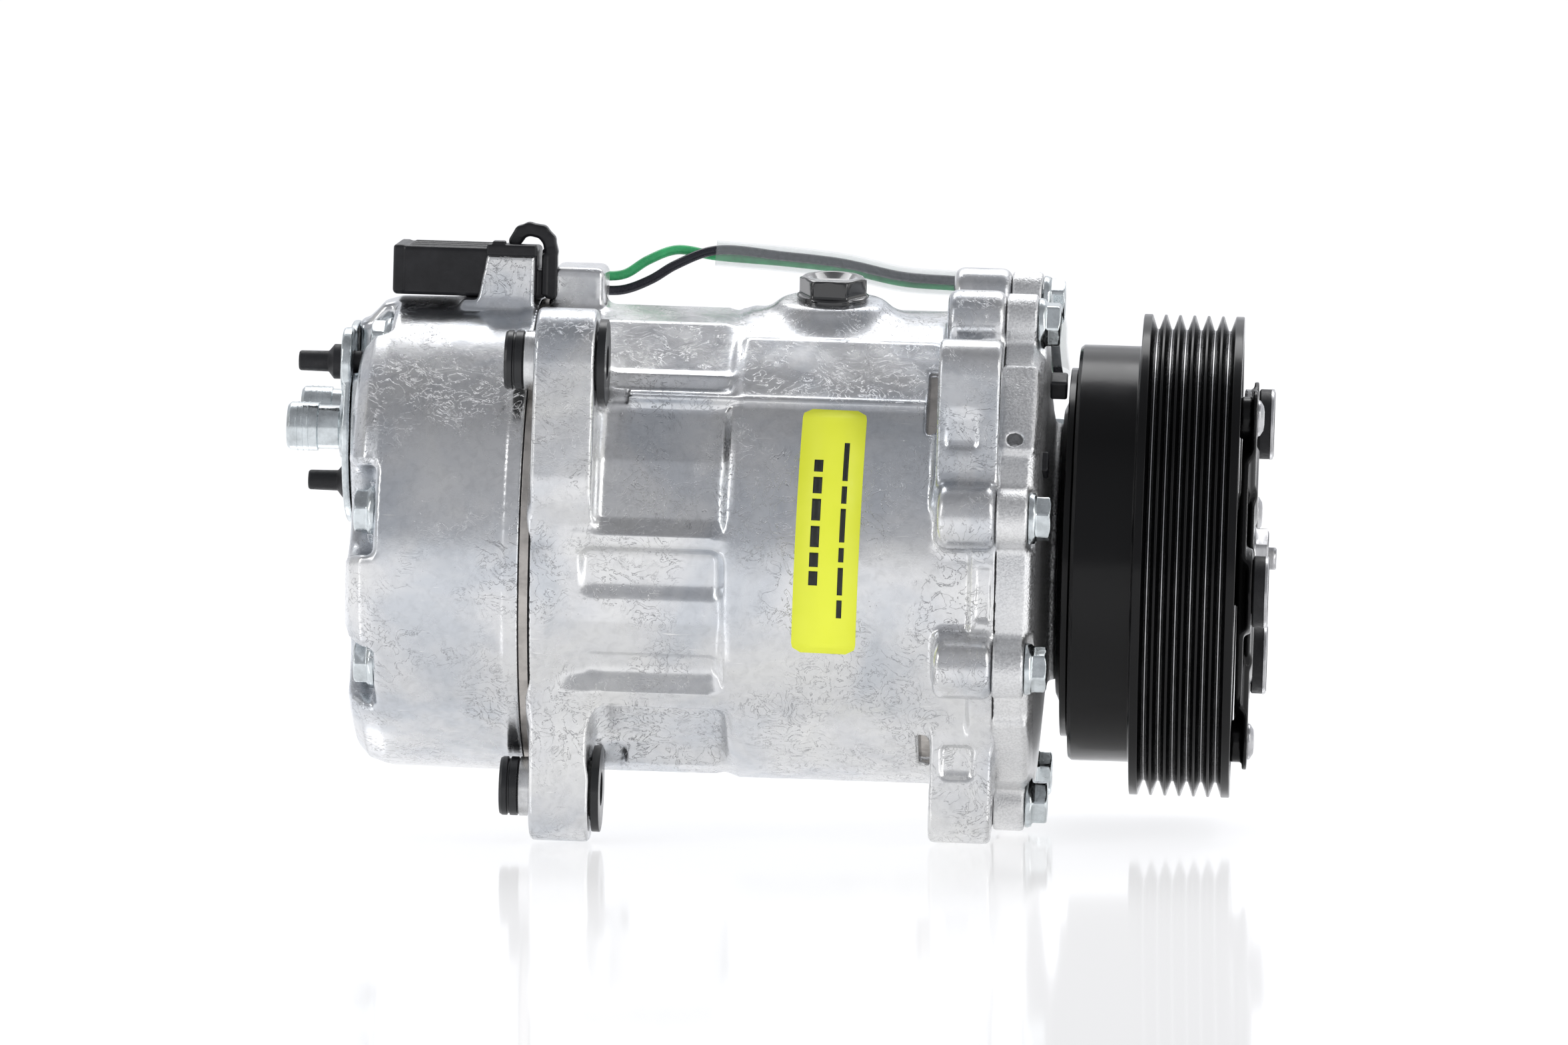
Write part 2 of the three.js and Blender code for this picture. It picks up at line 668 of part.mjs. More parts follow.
// The hub: a splined boss, three arms to the armature rivets, three pads under the rubber
// dampers, and the collars that stand the arms off the armature.
function clutchHub() {
  const [x0, x1] = HUB_PLATE;
  const boss = turned([
    [99, HUB_BORE],
    [99, 12],
    [114.3, 12],
    [114.3, 27],
    [x1, 27],
    [x1, HUB_BORE],
  ], 20);
  const pieces = [ring(x0, x1, 20, 30, 20)];
  for (const angle of RIVET_ANGLES) {
    const arm = new THREE.BoxGeometry(x1 - x0, RIVET_CIRCLE - 20, 14);
    arm.translate((x0 + x1) / 2, -(RIVET_CIRCLE + 20) / 2, 0).rotateX(-radians(angle));
    pieces.push(solid(arm), rod(x0, x1, 7, around(angle, RIVET_CIRCLE)));
    pieces.push(rod(113.3, x1, 5.2, around(angle, RIVET_CIRCLE), 8));
  }
  for (const angle of DAMPER_ANGLES) pieces.push(rod(x0, x1, 10.5, around(angle, DAMPER_CIRCLE), 16));
  return join(boss, ...pieces);
}
const HUB_BORE = SHAFT_RADIUS + 0.05;
add("clutch_hub", clutchHub(), blackSteel);

DAMPER_ANGLES.forEach((angle, k) => {
  const { y, z } = around(angle, DAMPER_CIRCLE);
  const cup = turned([
    [HUB_PLATE[1] + 0.1, 0],
    [HUB_PLATE[1] + 0.1, DAMPER_RADIUS],
    [DAMPER_END - 1, DAMPER_RADIUS],
    [DAMPER_END, DAMPER_RADIUS - 0.5],
    [DAMPER_END, 0],
  ], 20);
  add(`damper_${k + 1}`, cup, rubber, [0, y, z]);
});

add(
  "hub_bolt",
  turned([
    [116.6, 0],
    [116.6, 7.9],
    [120.6, 7.9],
    [121.2, 7.3],
    [121.2, 2.8],
    [HUB_BOLT_END, 2.8],
    [HUB_BOLT_END, 0],
  ], 20),
  bareSteel,
);

// ---------------------------------------------------------------- drive shaft and lug plate

const driveShaft = turned([
  [-46, 0],
  [-46, SHAFT_RADIUS - 1],
  [-45, SHAFT_RADIUS],
  [112, SHAFT_RADIUS],
  [116.2, SHAFT_RADIUS - 0.6],
  [116.2, 0],
], 20);
add("drive_shaft", driveShaft, bareSteel);

// Turns a piece drawn at the top of the shaft round to the side where the plate stays back.
const toTdcSide = (shape) => shape.rotate([90 - TDC_ANGLE, 0, 0]);

// The lug plate turns with the shaft. Two lugs carry the link to the tilting journal.
function lugPlate() {
  const disc = turned([
    [48.8, SHAFT_RADIUS + 0.05],
    [48.8, 14],
    [51.5, 14],
    [51.5, 42],
    [58, 42],
    [58, 30],
    [60.5, 30],
    [60.5, SHAFT_RADIUS + 0.05],
  ], 20);
  const lug = (y) => block([48.8, 52], [y - 3, y + 3], [20, 32]);
  return join(disc, toTdcSide(lug(-9)), toTdcSide(lug(9)));
}
add("lug_plate", lugPlate(), bareSteel);

// ---------------------------------------------------------------- tilting journal and wobble plate

const HINGE_BALL_RADIUS = 13;
const PLATE_REAR = BALL_PLANE - 1.5;
const PLATE_FRONT = BALL_PLANE + 10;
const JOURNAL_FRONT = BALL_PLANE + 17.6;

function hingeBall() {
  const sphere = solid(new THREE.SphereGeometry(HINGE_BALL_RADIUS, 16, 10)
    .rotateZ(-Math.PI / 2).translate(BALL_PLANE, 0, 0));
  const ends = block([BALL_PLANE - 9, BALL_PLANE + 9], [-20, 20], [-20, 20]);
  return cut(sphere.intersect(ends), rod(-30, 30, SHAFT_BORE, undefined, 20));
}
add("hinge_ball", hingeBall(), bareSteel);

function journal() {
  const body = turned([
    [PLATE_REAR, 13.4],
    [PLATE_REAR, 21.4],
    [PLATE_FRONT + 0.4, 21.4],
    [PLATE_FRONT + 0.4, 34],
    [JOURNAL_FRONT, 34],
    [JOURNAL_FRONT, 18.6],
    [BALL_PLANE + 7, 13.4],
  ], 24);
  return body.add(toTdcSide(block([JOURNAL_FRONT - 1, JOURNAL_FRONT + 1.6], [-5.5, 5.5], [20, 29])));
}
add("journal", journal(), bareSteel);

// The wobble plate doesn't turn: a fork on its rim slides along the guide pin. Each rod
// ball sits in a pocket that leaves it room to move outwards as the plate tilts.
function wobblePlate() {
  const tilt = radians(MAX_TILT);
  const shift = CYLINDER_PITCH * (Math.sin(tilt) ** 2 + Math.cos(tilt) - 1);
  const deep = CYLINDER_PITCH * Math.sin(tilt) * (1 - Math.cos(tilt));
  const disc = ring(PLATE_REAR, PLATE_FRONT, 21.8, 48.2, 24);
  const fork = toTdcSide(block([PLATE_REAR, PLATE_FRONT], [-6.2, 6.2], [43, 51.3]));
  const slot = toTdcSide(block([PLATE_REAR - 1, PLATE_FRONT + 1], [-3.1, 3.1], [44.8, 60]));
  const pockets = cylinderAngles.map((angle) => {
    const { y, z } = around(angle, CYLINDER_PITCH);
    const side = Math.cos(radians(angle - TDC_ANGLE));
    const move = around(TDC_ANGLE, (shift / 2) * side);
    const room = ROD_BALL_RADIUS + 0.5 + (shift / 2) * Math.abs(side);
    const floor = BALL_PLANE + ROD_BALL_RADIUS + 0.4 + Math.max(0, deep * side);
    return rod(PLATE_REAR - 1, floor, room, { y: y + move.y, z: z + move.z });
  });
  return cut(join(disc, fork), slot, ...pockets);
}
add("wobble_plate", wobblePlate(), machinedAluminium);

add("guide_pin", rod(GUIDE_PIN.rear, GUIDE_PIN.front, GUIDE_PIN.radius, GUIDE_PIN, 8), bareSteel);

// ---------------------------------------------------------------- pistons with their rods

const PISTON_CROWN = -58.6;
const PISTON_SKIRT = -36.5;
const piston = geometryOf(turned([
  [PISTON_CROWN, 0],
  [PISTON_CROWN, BORE_RADIUS - 0.06],
  [PISTON_SKIRT, BORE_RADIUS - 0.06],
  [PISTON_SKIRT, 11.5],
  [-50, 11.5],
  [-50, 3.6],
  [-45, 2.8],
  [BALL_PLANE - 3.1, 2.8],
  [BALL_PLANE, ROD_BALL_RADIUS],
  [BALL_PLANE + 3, 3],
  [BALL_PLANE + ROD_BALL_RADIUS, 0],
], 12));
cylinderAngles.forEach((angle, k) => {
  const { y, z } = around(angle, CYLINDER_PITCH);
  add(`piston_${k + 1}`, piston, machinedAluminium, [0, y, z]);
});

// ---------------------------------------------------------------- coil connector and lead

const CONNECTOR = { rear: -98.5, front: -62.8, low: 60, high: 72.2, near: -11.6, far: 8.6 };
function connectorHousing() {
  const { rear, front, low, high, near, far } = CONNECTOR;
  const shell = block([rear, front], [near, far], [low, high]);
  const mouth = block([rear - 1, rear + 14], [near + 1.6, far - 1.6], [low + 1.6, high - 1.6]);
  const foot = block([front - 1, -60.6], [near + 2, far - 2], [low, 67]);
  const tab = block([-61.8, -60.7], [-6, 4], [66, 72]);
  const pins = [-5, 2].map((y) => block([rear + 6.5, rear + 15], [y - 0.5, y + 0.5], [65, 67.4]));
  return join(cut(shell, mouth), foot, tab, ...pins);
}
add("connector_housing", connectorHousing(), blackPlastic);

// A sprung hook over the connector's front end.
function connectorHook() {
  const bend = new THREE.CatmullRomCurve3([
    new THREE.Vector3(-61, 11.3, 63),
    new THREE.Vector3(-61.2, 11.3, 72),
    new THREE.Vector3(-63.6, 11.3, 76.2),
    new THREE.Vector3(-67, 11.3, 76.2),
    new THREE.Vector3(-70, 11.3, 73.4),
  ]);
  const section = new THREE.Shape([
    new THREE.Vector2(-1.1, -1.4),
    new THREE.Vector2(1.1, -1.4),
    new THREE.Vector2(1.1, 1.4),
    new THREE.Vector2(-1.1, 1.4),
  ]);
  return new THREE.ExtrudeGeometry(section, { steps: 10, bevelEnabled: false, extrudePath: bend });
}
add("connector_hook", geometryOf(solid(connectorHook())), blackPlastic);

// A tube along a route: a round section with eight sides swept along a smooth curve.
function routed(points, radius, steps, sides = 8) {
  const path = new THREE.CatmullRomCurve3(points.map((p) => new THREE.Vector3(...p)));
  const section = new THREE.Shape(
    [...Array(sides).keys()].map((k) => {
      const angle = (2 * Math.PI * k) / sides;
      return new THREE.Vector2(radius * Math.cos(angle), radius * Math.sin(angle));
    }),
  );
  return solid(new THREE.ExtrudeGeometry(section, { steps, bevelEnabled: false, extrudePath: path }));
}

const WIRE_RADIUS = 1.2;
const WIRE_OFFSET = [0, -1, 0.76]; // from the middle of the sleeve to the green wire
const SLEEVE_INNER = 2.9;
const SLEEVE_OUTER = 3.25;

// The two wires leave the connector, arch over the body and share a clear sleeve, which
// passes behind the top bolt lugs and down the front housing to the coil.
const SLEEVE_ROUTE = [
  [-20, 19, 70.6],
  [-3, 20, 69.6],
  [12, 21, 68.2],
  [27, 23.5, 65.2],
  [40, 28.5, 64.2],
  [52, 30, 63.4],
  [59.5, 28, 62],
  [64.9, 23.4, 56.8],
  [66, 17, 49.6],
  [67, 12, 43.6],
];
const LEAD_TAIL = [[68.3, 9.3, 39.6]];
const beside = (points, side) =>
  points.map((point) => point.map((value, k) => value + side * WIRE_OFFSET[k]));
const GREEN_ROUTE = [
  [-58.5, 16.5, 64.6],
  [-51, 17, 64.2],
  [-43, 17.5, 64.6],
  [-37, 18, 68.3],
  [-30, 18.5, 71.4],
  ...beside([...SLEEVE_ROUTE, ...LEAD_TAIL], 1),
];
const BLACK_ROUTE = [
  [-58.5, 16.5, 60.8],
  [-51, 17, 60.6],
  [-43, 17.5, 60.8],
  [-36, 18, 63.4],
  [-30, 18.5, 66.8],
  ...beside([...SLEEVE_ROUTE, ...LEAD_TAIL], -1),
];
const sleeveTube = routed(SLEEVE_ROUTE, SLEEVE_OUTER, 14);
const sleeveBore = routed(
  [[-22, 18.9, 70.7], ...SLEEVE_ROUTE, ...LEAD_TAIL],
  SLEEVE_INNER,
  16,
);
add("lead_green", routed(GREEN_ROUTE, WIRE_RADIUS, 24), greenWire);
add("lead_black", routed(BLACK_ROUTE, WIRE_RADIUS, 24), blackWire);
add("lead_sleeve", cut(sleeveTube, sleeveBore), clearSleeve);

compressor.position.set(0, 0, SHAFT_HEIGHT);

export default compressor;
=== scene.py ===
"""The looks of a car's air-conditioning compressor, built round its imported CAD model.

Lengths in this file are millimetres from the middle of the drive shaft, with +X towards
the belt pulley and +Z up, unless a name ends in _M.
"""

import math

import bpy
import numpy as np
import openvdb
from mathutils import Matrix, Vector


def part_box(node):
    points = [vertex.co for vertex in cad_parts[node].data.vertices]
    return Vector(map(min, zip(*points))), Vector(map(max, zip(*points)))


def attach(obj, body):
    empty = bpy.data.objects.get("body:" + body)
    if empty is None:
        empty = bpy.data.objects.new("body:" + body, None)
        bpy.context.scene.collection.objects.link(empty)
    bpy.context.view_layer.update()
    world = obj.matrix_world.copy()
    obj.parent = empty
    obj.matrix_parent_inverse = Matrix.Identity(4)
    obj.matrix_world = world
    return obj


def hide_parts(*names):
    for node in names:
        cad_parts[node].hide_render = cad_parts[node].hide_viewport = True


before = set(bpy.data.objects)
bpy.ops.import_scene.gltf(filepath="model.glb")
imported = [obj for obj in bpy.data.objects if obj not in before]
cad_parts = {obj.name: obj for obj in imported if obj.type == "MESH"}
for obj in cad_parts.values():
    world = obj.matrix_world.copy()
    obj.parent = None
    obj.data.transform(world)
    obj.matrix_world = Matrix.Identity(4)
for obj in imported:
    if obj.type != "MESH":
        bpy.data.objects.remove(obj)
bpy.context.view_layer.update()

MM = 0.001
TAU = 2 * math.pi
SHAFT = (0, 0)
SHAFT_HEIGHT = (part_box("drive_shaft")[0].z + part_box("drive_shaft")[1].z) / 2 / MM


def low(node, axis=0):
    """A CAD node's lowest coordinate, from the middle of the shaft."""
    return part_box(node)[0][axis] / MM - (SHAFT_HEIGHT if axis == 2 else 0)


def high(node, axis=0):
    """A CAD node's highest coordinate, from the middle of the shaft."""
    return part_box(node)[1][axis] / MM - (SHAFT_HEIGHT if axis == 2 else 0)


def span(node, axis=0):
    return low(node, axis), high(node, axis)


def middle(node):
    """(y, z) of a CAD node's middle."""
    return [sum(span(node, k)) / 2 for k in (1, 2)]


def width(node):
    return high(node, 1) - low(node, 1)


def around(angle, radius):
    """A point round the shaft: angle 0 is the near side (-Y), and 90 is straight up."""
    a = math.radians(angle)
    return -radius * math.cos(a), radius * math.sin(a)


# Stations along the shaft and the main radii, from the CAD pieces.
HEAD_FRONT = high("rear_head") + 0.5
BODY = span("compressor_body")
# The joint shows a little in front of the CAD pieces' meeting plane.
JOINT = low("front_housing") + 1.5
BODY_RADIUS = width("valve_plate") / 2 + 0.2
HEAD_BACK = -104.9
PAD_BACK = low("rear_head")
BOLT_SEAT_REAR = -97.7
BOLT_SEAT_FRONT = 62.9
BOLT_HOLE = 3.3
NEAR_UPPER = middle("bush_near_upper")
NEAR_LOWER = middle("bush_near_lower")
FAR_UPPER = middle("bush_far_upper")
FOURTH_EAR = (35, -59.5)
EAR_RADIUS = 13.2
FRONT_LOWER_EAR_RADIUS = 10.4
NEAR_FRONT_EAR_RADIUS = 8.6
REAR_EAR_X = (BODY[0], -44)
FRONT_EAR_X = (39.6, JOINT)
BUSH_BORE = 4.25
REAR_BOLT_RADIUS = 50.5
REAR_BOLT_ANGLES = [72, 10.5, -34.5, -87.3, -138.7, 169.9, 118.5]
FRONT_BOLT_RADIUS = 63
FRONT_LOBE_RADIUS = 7.9
REAR_BOLTS = [around(angle, REAR_BOLT_RADIUS) for angle in REAR_BOLT_ANGLES]
BOLT_PAIR_ANGLES = (85.5, -4.5, -94.5, 175.5)
PAIR_SPREAD = 17.2
FRONT_BOLT_ANGLES = [angle + side * PAIR_SPREAD for angle in BOLT_PAIR_ANGLES for side in (1, -1)]
FRONT_BOLTS = [around(angle, FRONT_BOLT_RADIUS) for angle in FRONT_BOLT_ANGLES]
CYLINDER_ANGLES = [41.3 - 360 / 7 * k for k in range(7)]
CYLINDER_PITCH = 38.5
CYLINDER_BORE = 14.85
CRANKCASE_RADIUS = 53
SKIN_RADIUS = 59.15
GUIDE_PIN = around(-87.27, 48.5)
GUIDE_PIN_HOLE = 2.9
# The front housing's rim, the gaskets, and the control valve's place in the head.
FRONT_RADIUS = 61.2
GASKET_RADIUS = 59.1
VALVE_X, VALVE_Z = -84, -27
SHAFT_RADIUS = 8
SHAFT_BORE = 8.3
BEARING_RADIUS = 13


# ---- node materials


class NodeTree:
    """The node tree of a material or a world."""

    def __init__(self, owner):
        owner.use_nodes = True
        self.tree = owner.node_tree
        self.tree.nodes.clear()

    def node(self, kind, inputs=(), **settings):
        """A new node, fed by {socket: value}."""
        made = self.tree.nodes.new(kind)
        for key, value in settings.items():
            setattr(made, key, value)
        for socket, value in dict(inputs).items():
            self.feed(made.inputs[socket], value)
        return made

    def feed(self, socket, value):
        """Gives a socket a number, a colour or another node's output."""
        if isinstance(value, bpy.types.NodeSocket):
            self.tree.links.new(value, socket)
        else:
            colour = isinstance(value, tuple) and len(value) == 3
            socket.default_value = (*value, 1) if colour else value

    def ramp(self, value, *stops):
        """Maps 0..1 through (position, grey or colour) stops."""
        made = self.node("ShaderNodeValToRGB", {"Fac": value})
        elements = made.color_ramp.elements
        while len(elements) < len(stops):
            elements.new(0.5)
        for element, (position, colour) in zip(elements, stops):
            element.position = position
            element.color = (*colour, 1) if isinstance(colour, tuple) else (colour,) * 3 + (1,)
        return made.outputs["Color"]

    def mix(self, factor, a, b, kind="MIX"):
        inputs = {0: factor, 6: a, 7: b}
        return self.node("ShaderNodeMix", inputs, data_type="RGBA", blend_type=kind).outputs[2]


class Shader(NodeTree):
    """A material with one Principled shader."""

    def __init__(self, name, **sockets):
        self.material = bpy.data.materials.new(name)
        super().__init__(self.material)
        self.surface = self.node("ShaderNodeBsdfPrincipled")
        self.output = self.node("ShaderNodeOutputMaterial", {"Surface": self.surface.outputs[0]})
        self.place = self.node("ShaderNodeTexCoord").outputs["Object"]
        for socket, value in sockets.items():
            self.set(socket.replace("_", " ").title(), value)

    def set(self, socket, value):
        names = {"Ior": "IOR", "Specular": "Specular IOR Level", "Coat": "Coat Weight"}
        self.feed(self.surface.inputs[names.get(socket, socket)], value)

    def texture(self, kind, size, stretch=(1, 1, 1), **inputs):
        """A texture whose lumps are about size millimetres across."""
        scale = [1 / (size * MM * s) for s in stretch]
        scaled = self.node("ShaderNodeVectorMath", {0: self.place, 1: scale}, operation="MULTIPLY")
        return self.node(kind, {"Vector": scaled.outputs[0], "Scale": 1, **inputs})

    def noise(self, size, detail=3, roughness=0.55, distortion=0, stretch=(1, 1, 1)):
        return self.texture("ShaderNodeTexNoise", size, stretch, Detail=detail, Roughness=roughness,
                            Distortion=distortion).outputs[0]

    def cells(self, size):
        return self.texture("ShaderNodeTexVoronoi", size).outputs["Distance"]

    def math(self, operation, a, b):
        return self.node("ShaderNodeMath", {0: a, 1: b}, operation=operation).outputs[0]

    def bump(self, *layers):
        """Adds (height 0..1, depth in millimetres) layers to the surface's normal."""
        below = {}
        for height, depth in layers:
            inputs = {"Strength": 1, "Distance": depth * MM, "Height": height, **below}
            below = {"Normal": self.node("ShaderNodeBump", inputs).outputs[0]}
        self.set("Normal", below["Normal"])


def cast_aluminium():
    """Die-cast skin: cool stains, fine mottling, dark flow veins and pits, and pale scratches."""
    s = Shader("cast_aluminium", metallic=1.0)
    stains = s.ramp(s.noise(30, 4, 0.6, 0.5), (0.36, (0.64, 0.665, 0.70)), (0.52, (0.765, 0.77, 0.78)),
                    (0.68, (0.83, 0.83, 0.82)))
    skin = s.ramp(s.noise(2.4, 5, 0.65, 0.6), (0.32, 0.86), (0.55, 1.0))
    colour = s.mix(0.7, stains, skin, "MULTIPLY")
    where = s.ramp(s.noise(22, 2), (0.44, 0.0), (0.56, 1.0))
    veins = s.ramp(s.noise(6, 4, 0.6, 2.2), (0.486, 0.0), (0.5, 1.0), (0.514, 0.0))
    marks = s.math("MULTIPLY", where, veins)
    pits = s.ramp(s.cells(1.5), (0.03, 1.0), (0.1, 0.0))
    pits = s.math("MULTIPLY", pits, s.ramp(s.noise(8, 2), (0.5, 0.0), (0.6, 1.0)))
    dark = s.math("MAXIMUM", marks, pits)
    colour = s.mix(s.math("MULTIPLY", dark, 0.62), colour, (0.22, 0.22, 0.235))
    lines = s.ramp(s.noise(0.3, 1, 0.5, 0.35, (20, 1, 2.2)), (0.7, 0.0), (0.76, 1.0))
    scratches = s.math("MULTIPLY", lines, s.ramp(s.noise(8, 2), (0.52, 0.0), (0.6, 1.0)))
    s.set("Base Color", s.mix(s.math("MULTIPLY", scratches, 0.7), colour, (0.94, 0.94, 0.93)))
    s.set("Roughness", s.ramp(s.noise(9, 4, 0.6), (0.3, 0.19), (0.5, 0.25), (0.7, 0.34)))
    s.bump((s.noise(16, 2, 0.45), 0.3), (s.noise(1.8, 3, 0.5), 0.018), (s.noise(0.45, 2), 0.007),
           (dark, -0.06))
    return s.material


def blasted_aluminium():
    """The front housing: shot-blasted, with a fine sparkling grain."""
    s = Shader("blasted_aluminium", metallic=1.0)
    grain = s.noise(0.55, 2, 0.6)
    tone = s.ramp(s.noise(20, 3), (0.35, (0.72, 0.73, 0.75)), (0.6, (0.86, 0.86, 0.86)))
    s.set("Base Color", s.mix(0.5, s.ramp(grain, (0.35, 0.62), (0.62, 0.96)), tone))
    s.set("Roughness", s.ramp(grain, (0.3, 0.3), (0.7, 0.5)))
    s.bump((s.noise(9, 2), 0.15), (grain, 0.13), (s.noise(0.3, 1), 0.04))
    return s.material


def plated(name, colour, roughness, streak=(1, 1, 1)):
    """Plated or bare steel with fine tool marks along the streak direction."""
    s = Shader(name, metallic=1.0)
    fine = s.noise(0.7, 3, 0.6, 0, streak)
    darker = tuple(0.72 * c for c in colour)
    s.set("Base Color", s.ramp(s.noise(4, 4, 0.6), (0.32, darker), (0.58, colour)))
    s.set("Roughness", s.ramp(fine, (0.3, roughness * 0.7), (0.7, roughness * 1.4)))
    s.bump((fine, 0.012), (s.noise(3, 2), 0.03))
    return s.material


def black_paint(name, tone, roughness, coat, specular):
    """Satin to gloss black with a trace of dust and uneven sheen."""
    s = Shader(name, metallic=0.0, specular=specular)
    if coat:
        s.set("Coat", coat)
        s.set("Coat Roughness", 0.06)
    dust = s.ramp(s.noise(1.6, 4, 0.7), (0.66, 0.0), (0.8, 1.0))
    s.set("Base Color", s.mix(s.math("MULTIPLY", dust, 0.06), tone, (0.12, 0.12, 0.13)))
    s.set("Roughness", s.ramp(s.noise(16, 4, 0.6), (0.35, roughness * 0.75), (0.65, roughness * 1.3)))
    s.bump((s.noise(6, 2), 0.03), (s.noise(0.35, 2), 0.006))
    return s.material


def moulded(name, tone, roughness, grain):
    """Moulded plastic or rubber with a fine even grain of the given depth."""
    s = Shader(name, specular=0.4)
    lighter = tuple(min(1.0, 1.7 * c + 0.004) for c in tone)
    s.set("Base Color", s.ramp(s.noise(5, 4, 0.6), (0.35, tone), (0.7, lighter)))
    s.set("Roughness", s.ramp(s.noise(1.2, 3), (0.35, roughness * 0.85), (0.65, roughness * 1.15)))
    s.bump((s.noise(0.3, 2, 0.7), grain))
    return s.material


def clear_tube():
    """Clear flexible sleeve, slightly cloudy."""
    s = Shader("clear_sleeve", ior=1.45, alpha=0.14, specular=0.8, base_color=(0.8, 0.84, 0.86))
    s.set("Roughness", s.ramp(s.noise(2.5, 3), (0.35, 0.05), (0.65, 0.16)))
    s.bump((s.noise(4, 2), 0.05))
    return s.material


def label_film():
    # The film's emission is painted light: a faint yellow glow that makes the label brighter than the
    # lamps alone leave it.
    s = Shader("label_film", specular=0.4, emission_color=(0.72, 0.79, 0.06), emission_strength=0.24)
    s.set("Base Color", s.ramp(s.noise(9, 3), (0.3, (0.80, 0.85, 0.05)), (0.7, (0.85, 0.89, 0.065))))
    s.set("Roughness", s.ramp(s.noise(1.5, 3), (0.3, 0.32), (0.7, 0.45)))
    s.bump((s.noise(0.8, 2), 0.006))
    return s.material


# Each finish: its material, and the slot that the material belongs to.
FINISHES = {
    "cast": (cast_aluminium(), "cast_aluminium"),
    "blasted": (blasted_aluminium(), "blasted_aluminium"),
    "machined": (plated("machined_aluminium", (0.78, 0.785, 0.79), 0.26, (1, 8, 8)),
                 "machined_aluminium"),
    "zinc": (plated("zinc_plated_steel", (0.74, 0.79, 0.81), 0.2), "zinc_plated_steel"),
    "steel": (plated("bare_steel", (0.55, 0.55, 0.56), 0.28, (1, 6, 6)), "bare_steel"),
    "warm_steel": (plated("valve_plate_steel", (0.56, 0.53, 0.5), 0.36, (8, 1, 1)), "bare_steel"),
    "paint": (black_paint("pulley_paint", (0.003, 0.003, 0.0034), 0.17, 0.0, 0.26),
              "black_painted_steel"),
    "gloss_black": (black_paint("black_oxide", (0.004, 0.004, 0.005), 0.16, 1.0, 0.6),
                    "black_painted_steel"),
    "black_bush": (black_paint("bush_phosphate", (0.008, 0.009, 0.011), 0.3, 0.0, 0.6),
                   "black_painted_steel"),
    "plastic": (moulded("black_plastic", (0.008, 0.008, 0.010), 0.34, 0.02), "black_plastic"),
    "rubber": (moulded("black_rubber", (0.013, 0.013, 0.015), 0.5, 0.03), "black_rubber"),
    "gasket": (moulded("gasket", (0.008, 0.008, 0.009), 0.7, 0.02), "gasket_rubber"),
    "green": (moulded("green_insulation", (0.05, 0.4, 0.15), 0.3, 0.008), "green_insulation"),
    "black_wire": (moulded("black_insulation", (0.016, 0.016, 0.024), 0.28, 0.008),
                   "black_insulation"),
    "sleeve": (clear_tube(), "clear_sleeve"),
    "label": (label_film(), "clear_sleeve"),
    "label_ink": (moulded("label_ink", (0.015, 0.017, 0.014), 0.5, 0.004), "black_insulation"),
}


# ---- mesh helpers

def in_scene(name, data):
    """A new object, linked to the scene."""
    made = bpy.data.objects.new(name, data)
    bpy.context.scene.collection.objects.link(made)
    return made


def piece(name, points, faces, finish, body="housing", replaces=(), flat=True):
    """A mesh piece from points in millimetres. It rides on a body and may stand for CAD nodes."""
    data = bpy.data.meshes.new(name)
    at = np.asarray(points, dtype=np.float64) * MM
    at[:, 2] += SHAFT_HEIGHT * MM
    data.from_pydata(at.tolist(), [], faces)
    data.update()
    data.polygons.foreach_set("use_smooth", [True] * len(data.polygons))
    made = in_scene(name, data)
    material, slot = FINISHES[finish]
    data.materials.append(material)
    if flat:
        made.modifiers.new("flat_faces", "WEIGHTED_NORMAL").keep_sharp = True
    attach(made, body)
    if replaces:
        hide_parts(*replaces)
    return made


def outward(points, faces):
    """The faces, turned over if they enclose a negative volume."""
    p = np.asarray(points, dtype=np.float64)
    total = 0.0
    for face in faces:
        for k in range(1, len(face) - 1):
            total += np.dot(p[face[0]], np.cross(p[face[k]], p[face[k + 1]]))
    return faces if total > 0 else [face[::-1] for face in faces]


def joined(*shapes):
    """One (points, faces) pair from several."""
    points, faces = [], []
    for more_points, more_faces in shapes:
        faces += [[k + len(points) for k in face] for face in more_faces]
        points += [tuple(p) for p in more_points]
    return points, faces


# A corner flatter than this is left as it is, and an arc takes no more of a side than this.
NEARLY_STRAIGHT = math.radians(165)
LONGEST_CUT = 0.45


def rounded(profile, radius, steps=3):
    """The same closed outline, with each corner turned into an arc of about the radius given."""
    out = []
    for k, point in enumerate(profile):
        here = Vector(point)
        back = Vector(profile[k - 1]) - here
        on = Vector(profile[(k + 1) % len(profile)]) - here
        if here.y == 0 or min(back.length, on.length) < 1e-6 or back.angle(on) > NEARLY_STRAIGHT:
            out.append(tuple(here))
            continue
        longest = LONGEST_CUT * min(back.length, on.length)
        reach = min(radius / math.tan(back.angle(on) / 2), longest)
        start, end = here + back.normalized() * reach, here + on.normalized() * reach
        for j in range(steps + 1):
            t = j / steps
            out.append(tuple(start.lerp(here, t).lerp(here.lerp(end, t), t)))
    return out


